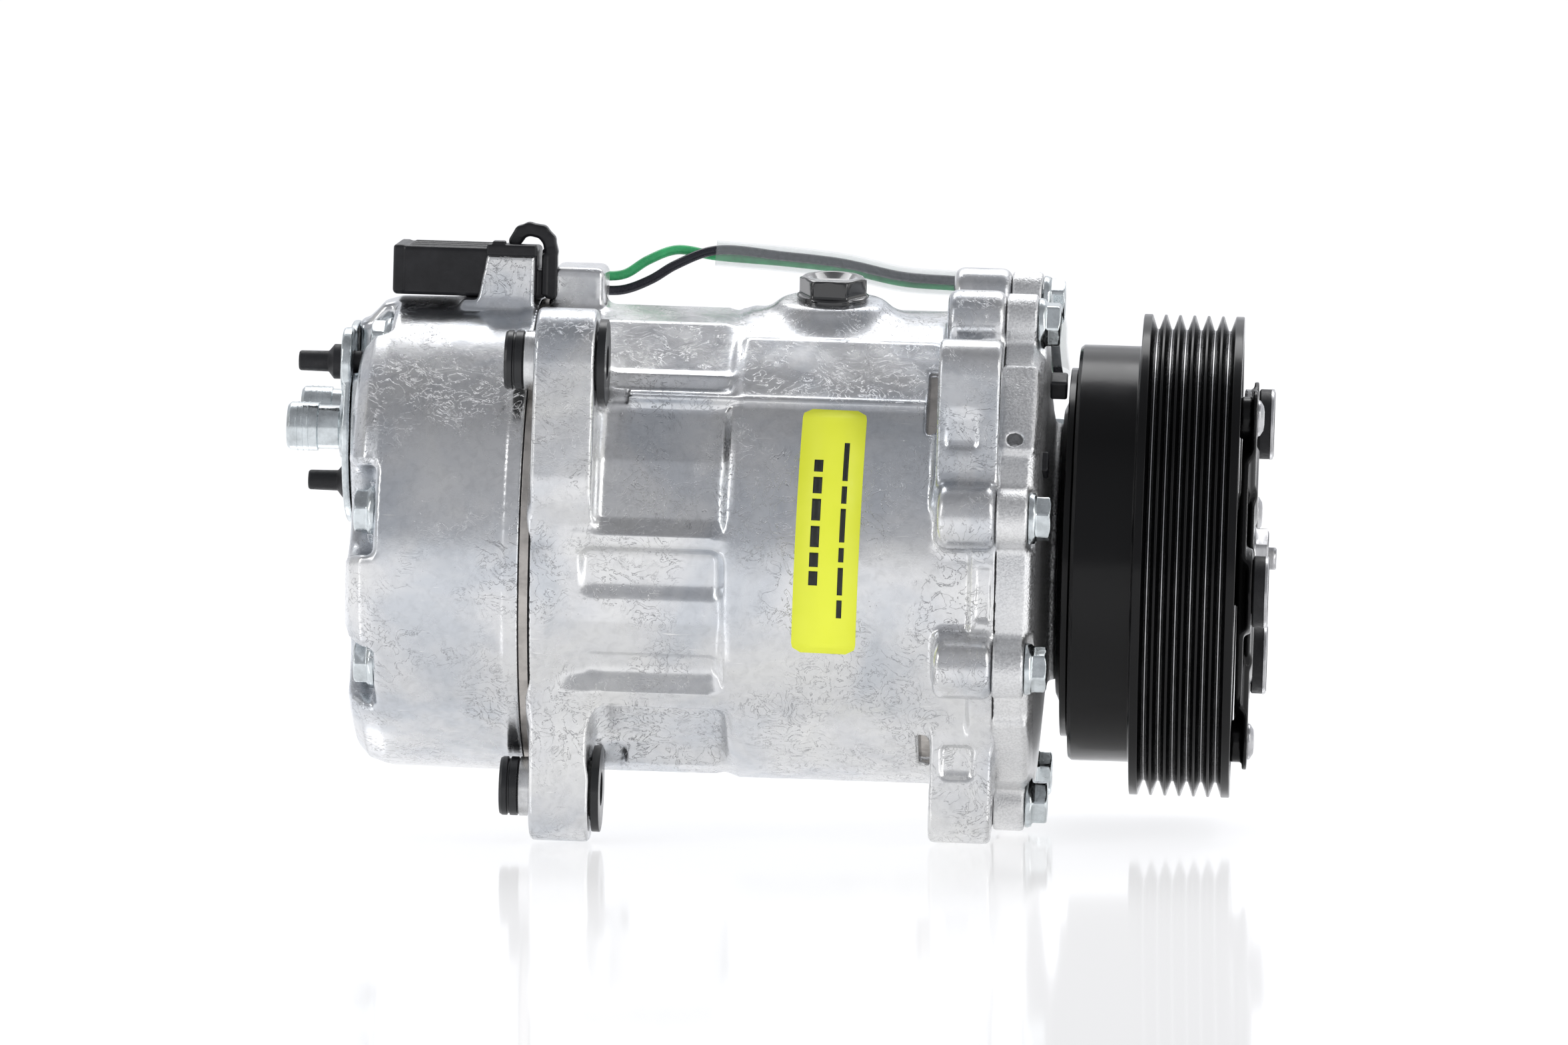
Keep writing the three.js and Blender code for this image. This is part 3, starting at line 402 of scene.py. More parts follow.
def spun(profile, centre=SHAFT, segments=96, edge=0.3, hexagon=None):
    """A solid of revolution along X from (station, radius) points, as points and faces.

    hexagon gives, for each profile point, half the width across flats that limits it, or None.
    """
    if hexagon is None:
        profile = rounded(profile, edge)
        hexagon = [None] * len(profile)
    points, rings = [], []
    for (x, r), flat in zip(profile, hexagon):
        if r < 1e-6:
            rings.append([len(points)] * segments)
            points.append((x, *centre))
            continue
        rings.append(list(range(len(points), len(points) + segments)))
        for k in range(segments):
            a = TAU * k / segments
            reach = r
            if flat:
                reach = min(r, flat / math.cos((a + math.pi / 6) % (math.pi / 3) - math.pi / 6))
            points.append((x, centre[0] - reach * math.cos(a), centre[1] + reach * math.sin(a)))
    faces = []
    for first, second in zip(rings, rings[1:] + rings[:1]):
        for k in range(segments):
            on = (k + 1) % segments
            face = list(dict.fromkeys([first[k], first[on], second[on], second[k]]))
            if len(face) > 2:
                faces.append(face)
    return points, outward(points, faces)


def ring(start, end, inner, outer):
    """A plain ring's profile."""
    return [(start, inner), (start, outer), (end, outer), (end, inner)]


def half_round(x, radius, steps, first=0):
    """Profile points of a ball, from the given step on."""
    angles = [math.pi * j / steps for j in range(first, steps)]
    return [(x - radius * math.cos(a), radius * math.sin(a)) for a in angles] + [(x + radius, 0)]


def hexagonal(*rows):
    """A turned piece from (station, radius) rows; a third number is half its hexagon's width."""
    return spun([row[:2] for row in rows], hexagon=[row[2] if row[2:] else None for row in rows])


def lathe(name, profile, finish, centre=SHAFT, segments=96, edge=0.3, **more):
    return piece(name, *spun(profile, centre, segments, edge), finish, **more)


def placed(shape, matrix):
    points, faces = shape
    return [tuple(matrix @ Vector(p)) for p in points], faces


def smooth_path(points, steps=10):
    """A smooth curve through points, with its speed eased at uneven ones."""
    knots = [Vector(p) for p in points]
    knots = [2 * knots[0] - knots[1], *knots, 2 * knots[-1] - knots[-2]]
    path = []
    for k in range(1, len(knots) - 2):
        p0, p1, p2, p3 = knots[k - 1 : k + 3]
        t0 = 0.0
        t1 = t0 + (p1 - p0).length ** 0.5
        t2 = t1 + (p2 - p1).length ** 0.5
        t3 = t2 + (p3 - p2).length ** 0.5
        for j in range(steps):
            t = t1 + (t2 - t1) * j / steps
            a1 = p0.lerp(p1, (t - t0) / (t1 - t0))
            a2 = p1.lerp(p2, (t - t1) / (t2 - t1))
            a3 = p2.lerp(p3, (t - t2) / (t3 - t2))
            b1 = a1.lerp(a2, (t - t0) / (t2 - t0))
            b2 = a2.lerp(a3, (t - t1) / (t3 - t1))
            path.append(b1.lerp(b2, (t - t1) / (t2 - t1)))
    path.append(knots[-2])
    return path


def swept(path, radii, sides=20):
    """A round section swept along a path. radii are (outer,) or (outer, inner)."""
    tangents = [(b - a).normalized() for a, b in zip(path[:1] + path[:-1], path[1:] + path[-1:])]
    side = tangents[0].orthogonal().normalized()
    points, faces = [], []
    walls = len(radii)
    for k, (p, t) in enumerate(zip(path, tangents)):
        if k:
            side = tangents[k - 1].rotation_difference(t) @ side
            side = (side - t * side.dot(t)).normalized()
        up = t.cross(side)
        for r in radii:
            for j in range(sides):
                a = TAU * j / sides
                points.append(tuple(p + side * r * math.cos(a) + up * r * math.sin(a)))
    row = sides * walls
    for k in range(len(path) - 1):
        for w in range(walls):
            for j in range(sides):
                a, b = k * row + w * sides + j, k * row + w * sides + (j + 1) % sides
                quad = [a, b, b + row, a + row]
                faces.append(quad if w == 0 else quad[::-1])
    last = (len(path) - 1) * row
    if walls == 1:
        faces.append(list(range(sides))[::-1])
        faces.append(list(range(last, last + sides)))
    else:
        for j in range(sides):
            on = (j + 1) % sides
            faces.append([j, sides + j, sides + on, on])
            faces.append([last + j, last + on, last + sides + on, last + sides + j])
    return points, outward(points, faces)


# ---- cast shapes

# A cast or moulded piece is a distance field on a grid, negative inside, so that its parts
# run into each other with fillets. A shape here is its box and its distance function.

FAR_AWAY = 30.0
PROFILE_STEP = 0.3


def smooth_min(a, b, fillet):
    if not fillet:
        return np.minimum(a, b)
    near = np.maximum(fillet - np.abs(a - b), 0) / fillet
    return np.minimum(a, b) - near * near * (fillet / 4)


def outside(a, b):
    """The distance from where both distances are negative."""
    return np.hypot(np.maximum(a, 0), np.maximum(b, 0)) + np.minimum(np.maximum(a, b), 0)


def box_round(points, spare=0.0):
    """The lowest and highest corners of a box round points, with spare room."""
    return [min(p) - spare for p in zip(*points)], [max(p) + spare for p in zip(*points)]


def disc(y, z, radius):
    return box_round([(y, z)], radius), lambda v, w: np.hypot(v - y, w - z) - radius


def strip(start, end, radius, end_radius=None):
    """A flat bar with round ends, from one point to another, tapered if it has two radii."""
    end_radius = end_radius or radius
    along = (end[0] - start[0], end[1] - start[1])
    square = along[0] ** 2 + along[1] ** 2

    def distance(v, w):
        t = np.clip(((v - start[0]) * along[0] + (w - start[1]) * along[1]) / square, 0, 1)
        from_line = np.hypot(v - start[0] - t * along[0], w - start[1] - t * along[1])
        return from_line - radius - t * (end_radius - radius)

    return box_round((start, end), max(radius, end_radius)), distance


def outline_distance(points, v, w):
    """The distance from a closed outline, negative inside."""
    nearest = np.float32(1e9)
    inside = False
    for (ax, ay), (bx, by) in zip(points, points[1:] + points[:1]):
        ex, ey = bx - ax, by - ay
        t = np.clip(((v - ax) * ex + (w - ay) * ey) / (ex * ex + ey * ey), 0, 1)
        nearest = np.minimum(nearest, (v - ax - t * ex) ** 2 + (w - ay - t * ey) ** 2)
        if ey:
            inside = inside ^ (((w >= ay) != (w >= by)) & (v < ax + (w - ay) * ex / ey))
    return np.sqrt(nearest) * np.where(inside, -1, 1)


def outline(points, corner=0.0):
    """A flat shape with straight sides, grown by the corner radius."""
    return box_round(points, corner), lambda v, w: outline_distance(points, v, w) - corner


def prism(flat, start, end, edge=0.8, axis=0):
    """A flat shape made solid along an axis, with rounded rims."""
    (lowest, highest), distance = flat
    others = [k for k in range(3) if k != axis]
    lowest, highest = [*lowest[:axis], start, *lowest[axis:]], [*highest[:axis], end, *highest[axis:]]

    def solid(*place):
        depth = np.abs(place[axis] - (start + end) / 2) - (end - start) / 2
        return outside(distance(*[place[k] for k in others]) + edge, depth + edge) - edge

    return (lowest, highest), solid


def post(place, radius, start, end, edge=0.3):
    """A round bar or hole along X."""
    return prism(disc(*place, radius), start, end, edge)


def brick(lowest, highest, edge=0.8):
    centre = [(a + b) / 2 for a, b in zip(lowest, highest)]
    half = [(b - a) / 2 - edge for a, b in zip(lowest, highest)]

    def solid(*place):
        q = [np.abs(p - c) - h for p, c, h in zip(place, centre, half)]
        return outside(outside(q[0], q[1]), q[2]) - edge

    return (lowest, highest), solid


def chip(angle, x0, x1, inner, outer, half_width, edge=0.8):
    """A brick that stands out from the shaft at an angle round it."""
    a = math.radians(angle)
    corners = [
        (-r * math.cos(a) + t * math.sin(a), r * math.sin(a) + t * math.cos(a))
        for r in (inner, outer) for t in (-half_width, half_width)
    ]
    lowest, highest = box_round(corners)
    upright = brick((x0, inner, -half_width), (x1, outer, half_width), edge)[1]

    def solid(x, y, z):
        return upright(x, z * math.sin(a) - y * math.cos(a), y * math.sin(a) + z * math.cos(a))

    return ((x0, *lowest), (x1, *highest)), solid


def stub(base, tip, base_radius, tip_radius, edge=0.5):
    """A round cone from one point to another."""
    base, tip = Vector(base), Vector(tip)
    length = (tip - base).length
    along = (tip - base) / length

    def solid(x, y, z):
        out = [x - base.x, y - base.y, z - base.z]
        t = out[0] * along.x + out[1] * along.y + out[2] * along.z
        away = np.sqrt(np.maximum(out[0] ** 2 + out[1] ** 2 + out[2] ** 2 - t * t, 0))
        side = away - base_radius - (tip_radius - base_radius) * t / length
        return outside(side + edge, np.abs(t - length / 2) - length / 2 + edge) - edge

    return box_round((base, tip), max(base_radius, tip_radius)), solid


def turned(profile, centre=SHAFT, edge=0.6):
    """A solid of revolution along X, from (station, radius) points that start and end inside."""
    points = [(x, r if r else -FAR_AWAY) for x, r in profile]
    most = max(r for _, r in profile)
    lowest = (min(x for x, _ in profile), centre[0] - most, centre[1] - most)
    highest = (max(x for x, _ in profile), centre[0] + most, centre[1] + most)

    def solid(x, y, z):
        radius = np.hypot(y - centre[0], z - centre[1])[0]
        samples = np.arange(0, radius.max() + 0.4, PROFILE_STEP)
        table = outline_distance(points, x[:, 0, 0][:, None], samples[None, :])
        return np.stack([np.interp(radius, samples, row) for row in table]).astype(np.float32)

    return (lowest, highest), solid


class Casting:
    """A piece's distance field over a box."""

    def __init__(self, lowest, highest, step):
        self.step = step * 1
        margin = 2.5 * self.step
        self.axes = [
            np.arange(a - margin, b + margin, self.step, dtype=np.float32)
            for a, b in zip(lowest, highest)
        ]
        self.field = np.full([len(axis) for axis in self.axes], FAR_AWAY, np.float32)

    def near(self, box, spare):
        """The part of the grid round a box, and its coordinates."""
        where = []
        for axis, a, b in zip(self.axes, *box):
            inside = np.flatnonzero((axis > a - spare) & (axis < b + spare))
            where.append(slice(inside[0], inside[-1] + 1) if len(inside) else slice(0, 0))
        place = np.meshgrid(*[a[w] for a, w in zip(self.axes, where)], indexing="ij", sparse=True)
        return tuple(where), place

    def add(self, shape, fillet=0.0, side=1):
        box, distance = shape
        where, place = self.near(box, fillet + 2 * self.step)
        if self.field[where].size:
            self.field[where] = side * smooth_min(side * self.field[where], distance(*place), fillet)

    def cut(self, shape, fillet=0.0):
        self.add(shape, fillet, -1)

    def holes(self, *rows):
        """Cuts a round hole along X for each (place, radius, start, end)."""
        for row in rows:
            self.cut(post(*row))

    def bricks(self, *rows):
        """Adds a brick for each (lowest, highest, edge, fillet)."""
        for lowest, highest, edge, fillet in rows:
            self.add(brick(lowest, highest, edge), fillet)

    def finish(self, name, finish, **more):
        grid = openvdb.FloatGrid(FAR_AWAY)
        grid.copyFromArray(self.field)
        points, _, quads = grid.convertToPolygons(0.0, 0.0)
        points = points * self.step + np.array([axis[0] for axis in self.axes])
        volume = np.einsum(
            "ij,ij->i",
            points[quads[:, 0]],
            np.cross(points[quads[:, 1]], points[quads[:, 2]])
            + np.cross(points[quads[:, 2]], points[quads[:, 3]]),
        ).sum()
        if volume < 0:
            quads = quads[:, ::-1]
        return piece(name, points, quads.tolist(), finish, flat=False, **more)


# ---- castings


def ear_shape(place, x0, x1, toward, reach, radius):
    """A mounting ear: a round end, and an arm back to the body that widens a little."""
    end = (place[0] + toward[0] * reach, place[1] + toward[1] * reach)
    return prism(strip(place, end, radius, radius + 1.5), x0, x1, 1.4)


# Where each ear stands and how it grows: the reach up or down, and the front ear's radius.
EARS = [
    (NEAR_UPPER, -1, 27, NEAR_FRONT_EAR_RADIUS, True),
    (NEAR_LOWER, 1, 22, FRONT_LOWER_EAR_RADIUS, True),
    (FAR_UPPER, -1, 26, EAR_RADIUS, True),
    (FOURTH_EAR, 1, 22, FRONT_LOWER_EAR_RADIUS, False),
]
PLUG_STATION = sum(span("oil_plug")) / 2
PLUG_LEAN = math.radians(7)
PLUG_SEAT = 61.8


def on_plug_line(height):
    return PLUG_STATION, -height * math.sin(PLUG_LEAN), height * math.cos(PLUG_LEAN)


# The cast section round the cylinders, seen from the near side: (angle, radius) of each edge.
NEAR_FACETS = [
    (90, 58.6), (70.5, 59.2), (52.5, 56.5), (49.5, 58.4), (46.8, 56.2), (44, 58.2), (41.3, 58.4),
    (39.5, 56.4), (25, 56.2), (10.4, 55.9), (6, 58.9), (3.5, 58.2), (-8, 56), (-16, 56.6), (-25, 56),
    (-31, 56), (-34.5, 59.4), (-38, 59.4), (-52, 58.8), (-66, 59), (-75, 58.9),
]
# On the far side each cylinder has its own blunt bulge.
FAR_BULGE = ((16, 54.4), (5, 57.2), (-5, 57.2), (-16, 54.4), (-23, 49.5))


# The machined notches behind the front ears: the angle of each and half its width.
DIE_NOTCHES = [(43, 9.6), (-53, 7), (137, 9.6)]
DIE_NOTCH_X = (36.7, 39.7)


def barrel_outline():
    far_side = [(angle + turn, radius) for angle in CYLINDER_ANGLES[3:] for turn, radius in FAR_BULGE]
    return [around(*point) for point in NEAR_FACETS + far_side]


def block_casting():
    block = Casting((BODY[0], -72, -SHAFT_HEIGHT), (JOINT, 72, 69), 0.6)
    block.add(turned([
        (BODY[0], 0), (BODY[0], BODY_RADIUS), (-55.5, BODY_RADIUS), (-52, 57.6), (-48, 54),
        (-45, 51.5), (-20, 51.5), (-14, 54), (-11.2, 58.2), (-9, 59), (36, 59), (48, 59.2),
        (49.6, 61.3), (JOINT, 61.5), (JOINT, 0),
    ]))
    block.add(prism(outline(barrel_outline(), 0), -52, -12, 3), 3.5)
    for angle in FRONT_BOLT_ANGLES:
        lobe = strip(around(angle, 52), around(angle, FRONT_BOLT_RADIUS), FRONT_LOBE_RADIUS)
        block.add(prism(lobe, 40.4, JOINT, 2.6), 2.4)
    for place, way, reach, front_radius, has_rear in EARS:
        if has_rear:
            block.add(ear_shape(place, *REAR_EAR_X, (0, way), reach, EAR_RADIUS), 5)
        block.add(ear_shape(place, *FRONT_EAR_X, (0, way), reach, front_radius), 3)
    add_block_details(block)
    cut_block_holes(block)
    block.finish("block_casting", "cast", replaces=["compressor_body"])
    for k, (angle, half_width) in enumerate(DIE_NOTCHES):
        y, z = around(angle, 57)
        reach = half_width + 1
        floor_plate = Casting((36, y - reach, z - reach), (40.4, y + reach, z + reach), 0.25)
        x0, x1 = DIE_NOTCH_X[0] + 0.1, DIE_NOTCH_X[1] - 0.1
        floor_plate.add(chip(angle, x0, x1, 55.6, 56.8, half_width - 0.2, 0.3))
        floor_plate.finish(f"die_notch_floor_{k + 1}", "warm_steel")


def add_block_details(block):
    block.add(brick((BODY[0], -9, 50), (-46, 12, 67.8), 2), 3)
    block.add(stub(on_plug_line(44), on_plug_line(PLUG_SEAT), 17.5, 12.6, 1), 7)
    # The flat side of the crankcase, above the parting line of the die.
    for angle in (52, 128):
        block.add(chip(angle, -9.5, 39, 50, 58.9, 12, 1.6), 1)
    for angle in (41.4, 221.6):
        block.add(chip(angle, -50, 40, 52, 59.9, 0.7, 0.4), 0.8)
    # The rounded pocket and the deep scoop below the widest part of the cylinders.
    block.cut(chip(-3.2, -46.8, -12.3, 54.4, 70, 6, 3), 1.6)
    block.cut(chip(-27.8, -45.5, -13.5, 55.2, 70, 2.8, 1.6), 1.2)
    block.cut(chip(-52.5, -44.5, -11, 54.6, 72, 13, 4.5), 2)
    for angle in (144.1 + 25.7, 118):
        block.cut(chip(angle, -46, -15, 53.2, 70, 4.6, 3.4), 2)
    # Shallow windows in the front ears and in the flange between the bolts.
    upper_face = NEAR_UPPER[0] - NEAR_FRONT_EAR_RADIUS - 0.7
    lower_face = NEAR_LOWER[0] - FRONT_LOWER_EAR_RADIUS
    block.cut(brick((41.6, upper_face - 9, 29.8), (50, upper_face + 1.1, 39.4), 2), 1)
    block.cut(brick((42.2, lower_face - 9, -53), (50.6, lower_face + 0.8, -44.4), 2), 1)
    for angle in (-5, 85.5, 175.5, -94.5):
        block.cut(chip(angle, 50.5, JOINT - 0.9, 60.3, 70, 6.6, 0.6), 0.5)
    for angle, half_width in DIE_NOTCHES:
        block.cut(chip(angle, *DIE_NOTCH_X, 56.4, 70, half_width, 0.5), 0.3)


def cut_block_holes(block):
    """The crankcase, the cylinders and the bolt holes."""
    block.holes((SHAFT, CRANKCASE_RADIUS, -8.5, 60), (SHAFT, 12.4, -48, -9),
                (GUIDE_PIN, GUIDE_PIN_HOLE, -14.2, -8))
    block.cut(stub(on_plug_line(45), on_plug_line(66), 5.3, 5.3))
    block.holes(*[(around(angle, CYLINDER_PITCH), CYLINDER_BORE, -65, 3) for angle in CYLINDER_ANGLES],
                *[(place, BOLT_HOLE, 44, 60) for place in FRONT_BOLTS],
                *[(place, BOLT_HOLE, -65, -48) for place in REAR_BOLTS])
    for place, _, _, front_radius, has_rear in EARS:
        block.cut(post(place, BUSH_BORE, 36, 60))
        # Spot faces on both sides of the front ear.
        block.cut(post(place, front_radius - 1.8, 34, FRONT_EAR_X[0] + 0.5))
        if has_rear:
            block.cut(post(place, 7.5, -65, -38))
            block.cut(post(place, 12, -44, -37), 1)


PORT_CENTRE = middle("port_plate")


def head_casting():
    head = Casting((PAD_BACK, -62, -62), (HEAD_FRONT, 62, 71), 0.62)
    head.add(turned([
        (HEAD_BACK, 0), (HEAD_BACK, 51), (-103.9, 54.4), (-101, 57.6), (-97, BODY_RADIUS - 0.5),
        (-66, BODY_RADIUS - 0.2), (-65.2, BODY_RADIUS + 0.3), (HEAD_FRONT, BODY_RADIUS + 0.3),
        (HEAD_FRONT, 0),
    ], edge=0.8))
    head.add(post(PORT_CENTRE, 26, PAD_BACK, -98, 1), 2.5)
    # The cradle under the coil connector: a base with a cheek on each side.
    head.add(brick((-81, -15, 48), (-65.4, 12, 59.6), 1.2), 3)
    cheek = outline([(-77.6, 52), (-74.2, 70), (-63.8, 70), (-63.8, 52)], 0.8)
    head.add(prism(cheek, -15.2, -12, 0.8, axis=1), 1)
    head.add(brick((-81, 9, 52), (-65.4, 12, 70.2), 0.9), 1)
    # The control valve's boss across the lower far side.
    head.add(stub((VALVE_X, 10, VALVE_Z), (VALVE_X, 53.5, VALVE_Z), 10.5, 9.5, 1.2), 4)
    for angle in REAR_BOLT_ANGLES:
        wide = 11 if angle == REAR_BOLT_ANGLES[1] else 9
        recess = strip(around(angle, REAR_BOLT_RADIUS + 1), around(angle, REAR_BOLT_RADIUS + 13), wide)
        head.cut(prism(recess, -120, BOLT_SEAT_REAR, 1.4), 2.6)
        head.add(post(around(angle, REAR_BOLT_RADIUS - 1), 8, -99.6, BOLT_SEAT_REAR, 0.4))
    for place in REAR_BOLTS:
        head.holes((place, BOLT_HOLE, -110, -60), (place, 7.2, -112, BOLT_SEAT_REAR - 0.05))
    head.cut(prism(disc(VALVE_X, VALVE_Z, 6.9), 18, 70, 0.4, axis=1))
    return head.finish("rear_head_casting", "cast", replaces=["rear_head"])


def housing_casting():
    nose = low("shaft_seal") + 12
    housing = Casting((JOINT, -71, -71), (nose, 71, 71), 0.62)
    housing.add(turned([
        (JOINT, 0), (JOINT, FRONT_RADIUS), (62, FRONT_RADIUS), (63.6, 60), (64.8, 57.4), (65.4, 50),
        (66.4, 36), (67.2, 32.3), (69.1, 31.8), (69.1, 17.3), (nose, 17.3), (nose, 0),
    ], edge=0.5))
    for angle in FRONT_BOLT_ANGLES:
        place = around(angle, FRONT_BOLT_RADIUS)
        housing.add(post(place, 7.3, JOINT, BOLT_SEAT_FRONT, 0.6), 2)
        outer = around(angle, FRONT_BOLT_RADIUS + 4)
        housing.cut(prism(strip(place, outer, 8.2), BOLT_SEAT_FRONT, 69, 0.3), 0.8)
    # Raised pads between the bolt pairs, stepped down at their ends.
    for angle in BOLT_PAIR_ANGLES:
        housing.add(chip(angle - 45, JOINT, 63.6, 50, 61.4, 13, 1.2), 1.5)
    housing.cut(post(SHAFT, 50, 50, 61.5, 0.4))
    seat = BEARING_RADIUS + 0.3
    housing.holes((SHAFT, seat, 50, 68), (SHAFT, seat, 84, nose + 5), (SHAFT, 8.6, 50, nose + 5),
                  (GUIDE_PIN, GUIDE_PIN_HOLE, 50, 58.3))
    housing.cut(brick((BOLT_SEAT_FRONT - 0.1, 4, 36), (68, 34, 66), 1), 1)
    housing.holes(*[(place, BOLT_HOLE, 50, 64) for place in FRONT_BOLTS])
    # A small tapped hole in the near side, between two bolts.
    hole = [(58.6, *around(31.4, radius)) for radius in (56, 66)]
    housing.cut(stub(*hole, 1.9, 1.9, 0.2), 0.5)
    return housing.finish("front_housing_casting", "blasted", replaces=["front_housing"])


# ---- fasteners and plates


def bolt_shape(flange, across, height, shank_radius, shank, recess=0.0):
    """A flanged hexagon bolt along X: its seat at 0, its head on the negative side."""
    half = across / 2
    corner = half / math.cos(math.pi / 6)
    return hexagonal(
        (-height + recess, 0), (-height + recess, half * 0.62), (-height, half * 0.74),
        (-height, half * 0.93), (-height + 0.12, half, half), (-height + 0.34, half + 0.26, half),
        (-height + 0.62, corner * 0.97, half), (-2.6, corner * 0.975, half),
        (-2.0, corner * 0.98, half * 1.004), (-1.75, corner + 0.2, half * 1.04),
        (-1.55, corner + 0.35), (-1.05, flange - 0.18), (-0.75, flange), (-0.15, flange),
        (0, flange - 0.15), (0, shank_radius), (shank - 0.6, shank_radius),
        (shank, shank_radius - 0.6), (shank, 0),
    )


def bolts():
    """The bolts of the head and the front housing; four of the head's have no CAD node."""
    for name, node, places, seat, height, shank, facing, turn in (
        ("rear_head_bolt", "rear_bolt", REAR_BOLTS, BOLT_SEAT_REAR, 5.2, 47, 0, 17),
        ("housing_bolt", "front_bolt", FRONT_BOLTS, BOLT_SEAT_FRONT, 5.4, 16, math.pi, 23),
    ):
        shape = bolt_shape(6.4, 10, height, 3, shank, 0.7)
        for k, place in enumerate(places):
            matrix = Matrix.Translation((seat, *place)) @ Matrix.Rotation(facing, 4, "Z")
            matrix = matrix @ Matrix.Rotation(math.radians(turn * k), 4, "X")
            own = f"{node}_{k + 1}"
            piece(f"{name}_{k + 1}", *placed(shape, matrix), "zinc",
                  replaces=[own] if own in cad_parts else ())


def oil_plug():
    plug = bolt_shape(8.9, 15, 6.3, 5, 10, 1.4)
    along = Vector((0, -math.sin(PLUG_LEAN), math.cos(PLUG_LEAN)))
    matrix = Matrix.Translation(on_plug_line(PLUG_SEAT + 0.05))
    matrix = matrix @ Vector((-1, 0, 0)).rotation_difference(along).to_matrix().to_4x4()
    matrix = matrix @ Matrix.Rotation(math.radians(12), 4, "X")
    piece("oil_filler_plug", *placed(plug, matrix), "gloss_black", replaces=["oil_plug"])
    piece("oil_plug_washer", *placed(spun(ring(-0.1, 0.5, 5.2, 8.3), edge=0.2), matrix), "steel")


def port_cover():
    x0, x1 = span("port_plate")
    plate = Casting((x0, -28, PORT_CENTRE[1] - 28), (x1, 28, PORT_CENTRE[1] + 28), 0.35)
    plate.add(post(PORT_CENTRE, 25.3, x0 + 0.9, x1, 0.5))
    plate.add(prism(strip((-15, 43), (15, 10.5), 8.6), x0, x1, 0.7), 1)
    plate.add(prism(strip((-17, 26.8), (17, 28), 7.6), x0, x1, 0.7), 1)
    for place in [middle(f"port_{kind}_{k}") for kind in ("plug", "screw") for k in (1, 2)]:
        plate.cut(post(place, 3.2, x0 - 1, x1 + 1, 0.2))
    plate.finish("port_blanking_plate", "zinc", replaces=["port_plate"])
    end, collar = low("port_screw_1"), -115.5
    for k in (1, 2):
        cap = [
            (end + 3.4, 0), (end + 3.4, 2.9), (end, 3.3), (end, 5.3), (end + 0.8, 6), (collar, 6),
            (collar, 5.45), (x0 - 0.15, 5.45), (x0 - 0.15, 2.9), (-95, 2.9), (-95, 0),
        ]
        node = f"port_screw_{k}"
        lathe(f"port_cap_screw_{k}", cap, "zinc", middle(node), 64, 0.25, replaces=[node])
        rings = [spun(ring(x, x + 0.5, 5.7, 6.12), middle(node), 64, 0.1)
                 for x in (end + 2.2, end + 3.6, end + 5)]
        piece(f"port_screw_knurl_{k}", *joined(*rings), "zinc")
        node = f"port_plug_{k}"
        stem = [
            (low(node), 0), (low(node), 2.2), (low(node) + 0.5, 2.5), (-113.6, 2.6), (-112.2, 4.35),
            (x0 - 0.1, 4.35), (x0 - 0.1, 2.8), (-105.3, 2.8), (-105.3, 0),
        ]
        lathe(f"port_rubber_plug_{k}", stem, "rubber", middle(node), 48, 0.4, replaces=[node])


def joint_plates():
    """The black gasket and the plates between the rear head and the block."""
    plate_start, plate_end = span("valve_plate")
    for name, start, end, inner, outer, finish, edge, nodes in (
        ("head_gasket_ring", HEAD_FRONT - 0.05, high("head_gasket"), 44, GASKET_RADIUS, "gasket", 0.1,
         ["head_gasket"]),
        ("valve_plate_disc", plate_start, plate_end + 0.5, 0, 59.3, "warm_steel", 0.2,
         ["valve_plate"]),
        ("block_gasket_ring", plate_end + 0.6, BODY[0], 44, GASKET_RADIUS, "gasket", 0.1, ()),
        ("front_joint_ring", JOINT - 0.25, JOINT + 0.15, 54, FRONT_RADIUS, "gasket", 0.1, ()),
    ):
        lathe(name, ring(start, end, inner, outer), finish, segments=160, edge=edge, replaces=nodes)


def bushes():
    for node in ("bush_near_upper", "bush_near_lower", "bush_far_upper"):
        x0, x1 = span(node)
        sleeve = [
            (x0, BUSH_BORE), (x0, 6.9), (x0 + 0.7, 7.3), (x0 + 1.9, 7.3), (x0 + 2, 6.8),
            (x0 + 2.5, 6.8), (x0 + 2.6, 7.3), (x0 + 4.4, 7.3), (x0 + 4.6, 6.9), (x1 - 2, 6.9),
            (x1 - 2, 10.7), (x1, 10.7), (x1, BUSH_BORE),
        ]
        lathe(f"slip_{node}", sleeve, "black_bush", middle(node), 64, 0.15, replaces=[node])
        collar = ring(x0 + 4.9, x0 + 7.6, 6.95, 7.35)
        lathe(f"bush_shell_{node[5:]}", collar, "machined", middle(node), 64, 0.1)


# ---- pulley, coil and clutch


GROOVES = 6
GROOVE_PITCH = 3.56
GROOVE_DEPTH = 3.7
BALL_ROWS = (82, 92)
BALLS_IN_ROW = 12
BALL_RADIUS = 2.3
BALL_PITCH_RADIUS = 22.55
RIVET_ANGLES = (52, 172, 292)
RIVET_RADIUS = 47.5


def groove_profile(rim_rear, rim_front, rim):
    """Four profile points for each groove; the second is the start of its flat bottom."""
    first = (rim_rear + rim_front) / 2 - (GROOVES / 2 - 0.5) * GROOVE_PITCH
    points = []
    for k in range(GROOVES):
        centre = first + k * GROOVE_PITCH
        points += [(centre - 1.5, rim), (centre - 0.25, rim - GROOVE_DEPTH),
                   (centre + 0.25, rim - GROOVE_DEPTH), (centre + 1.5, rim)]
    return points


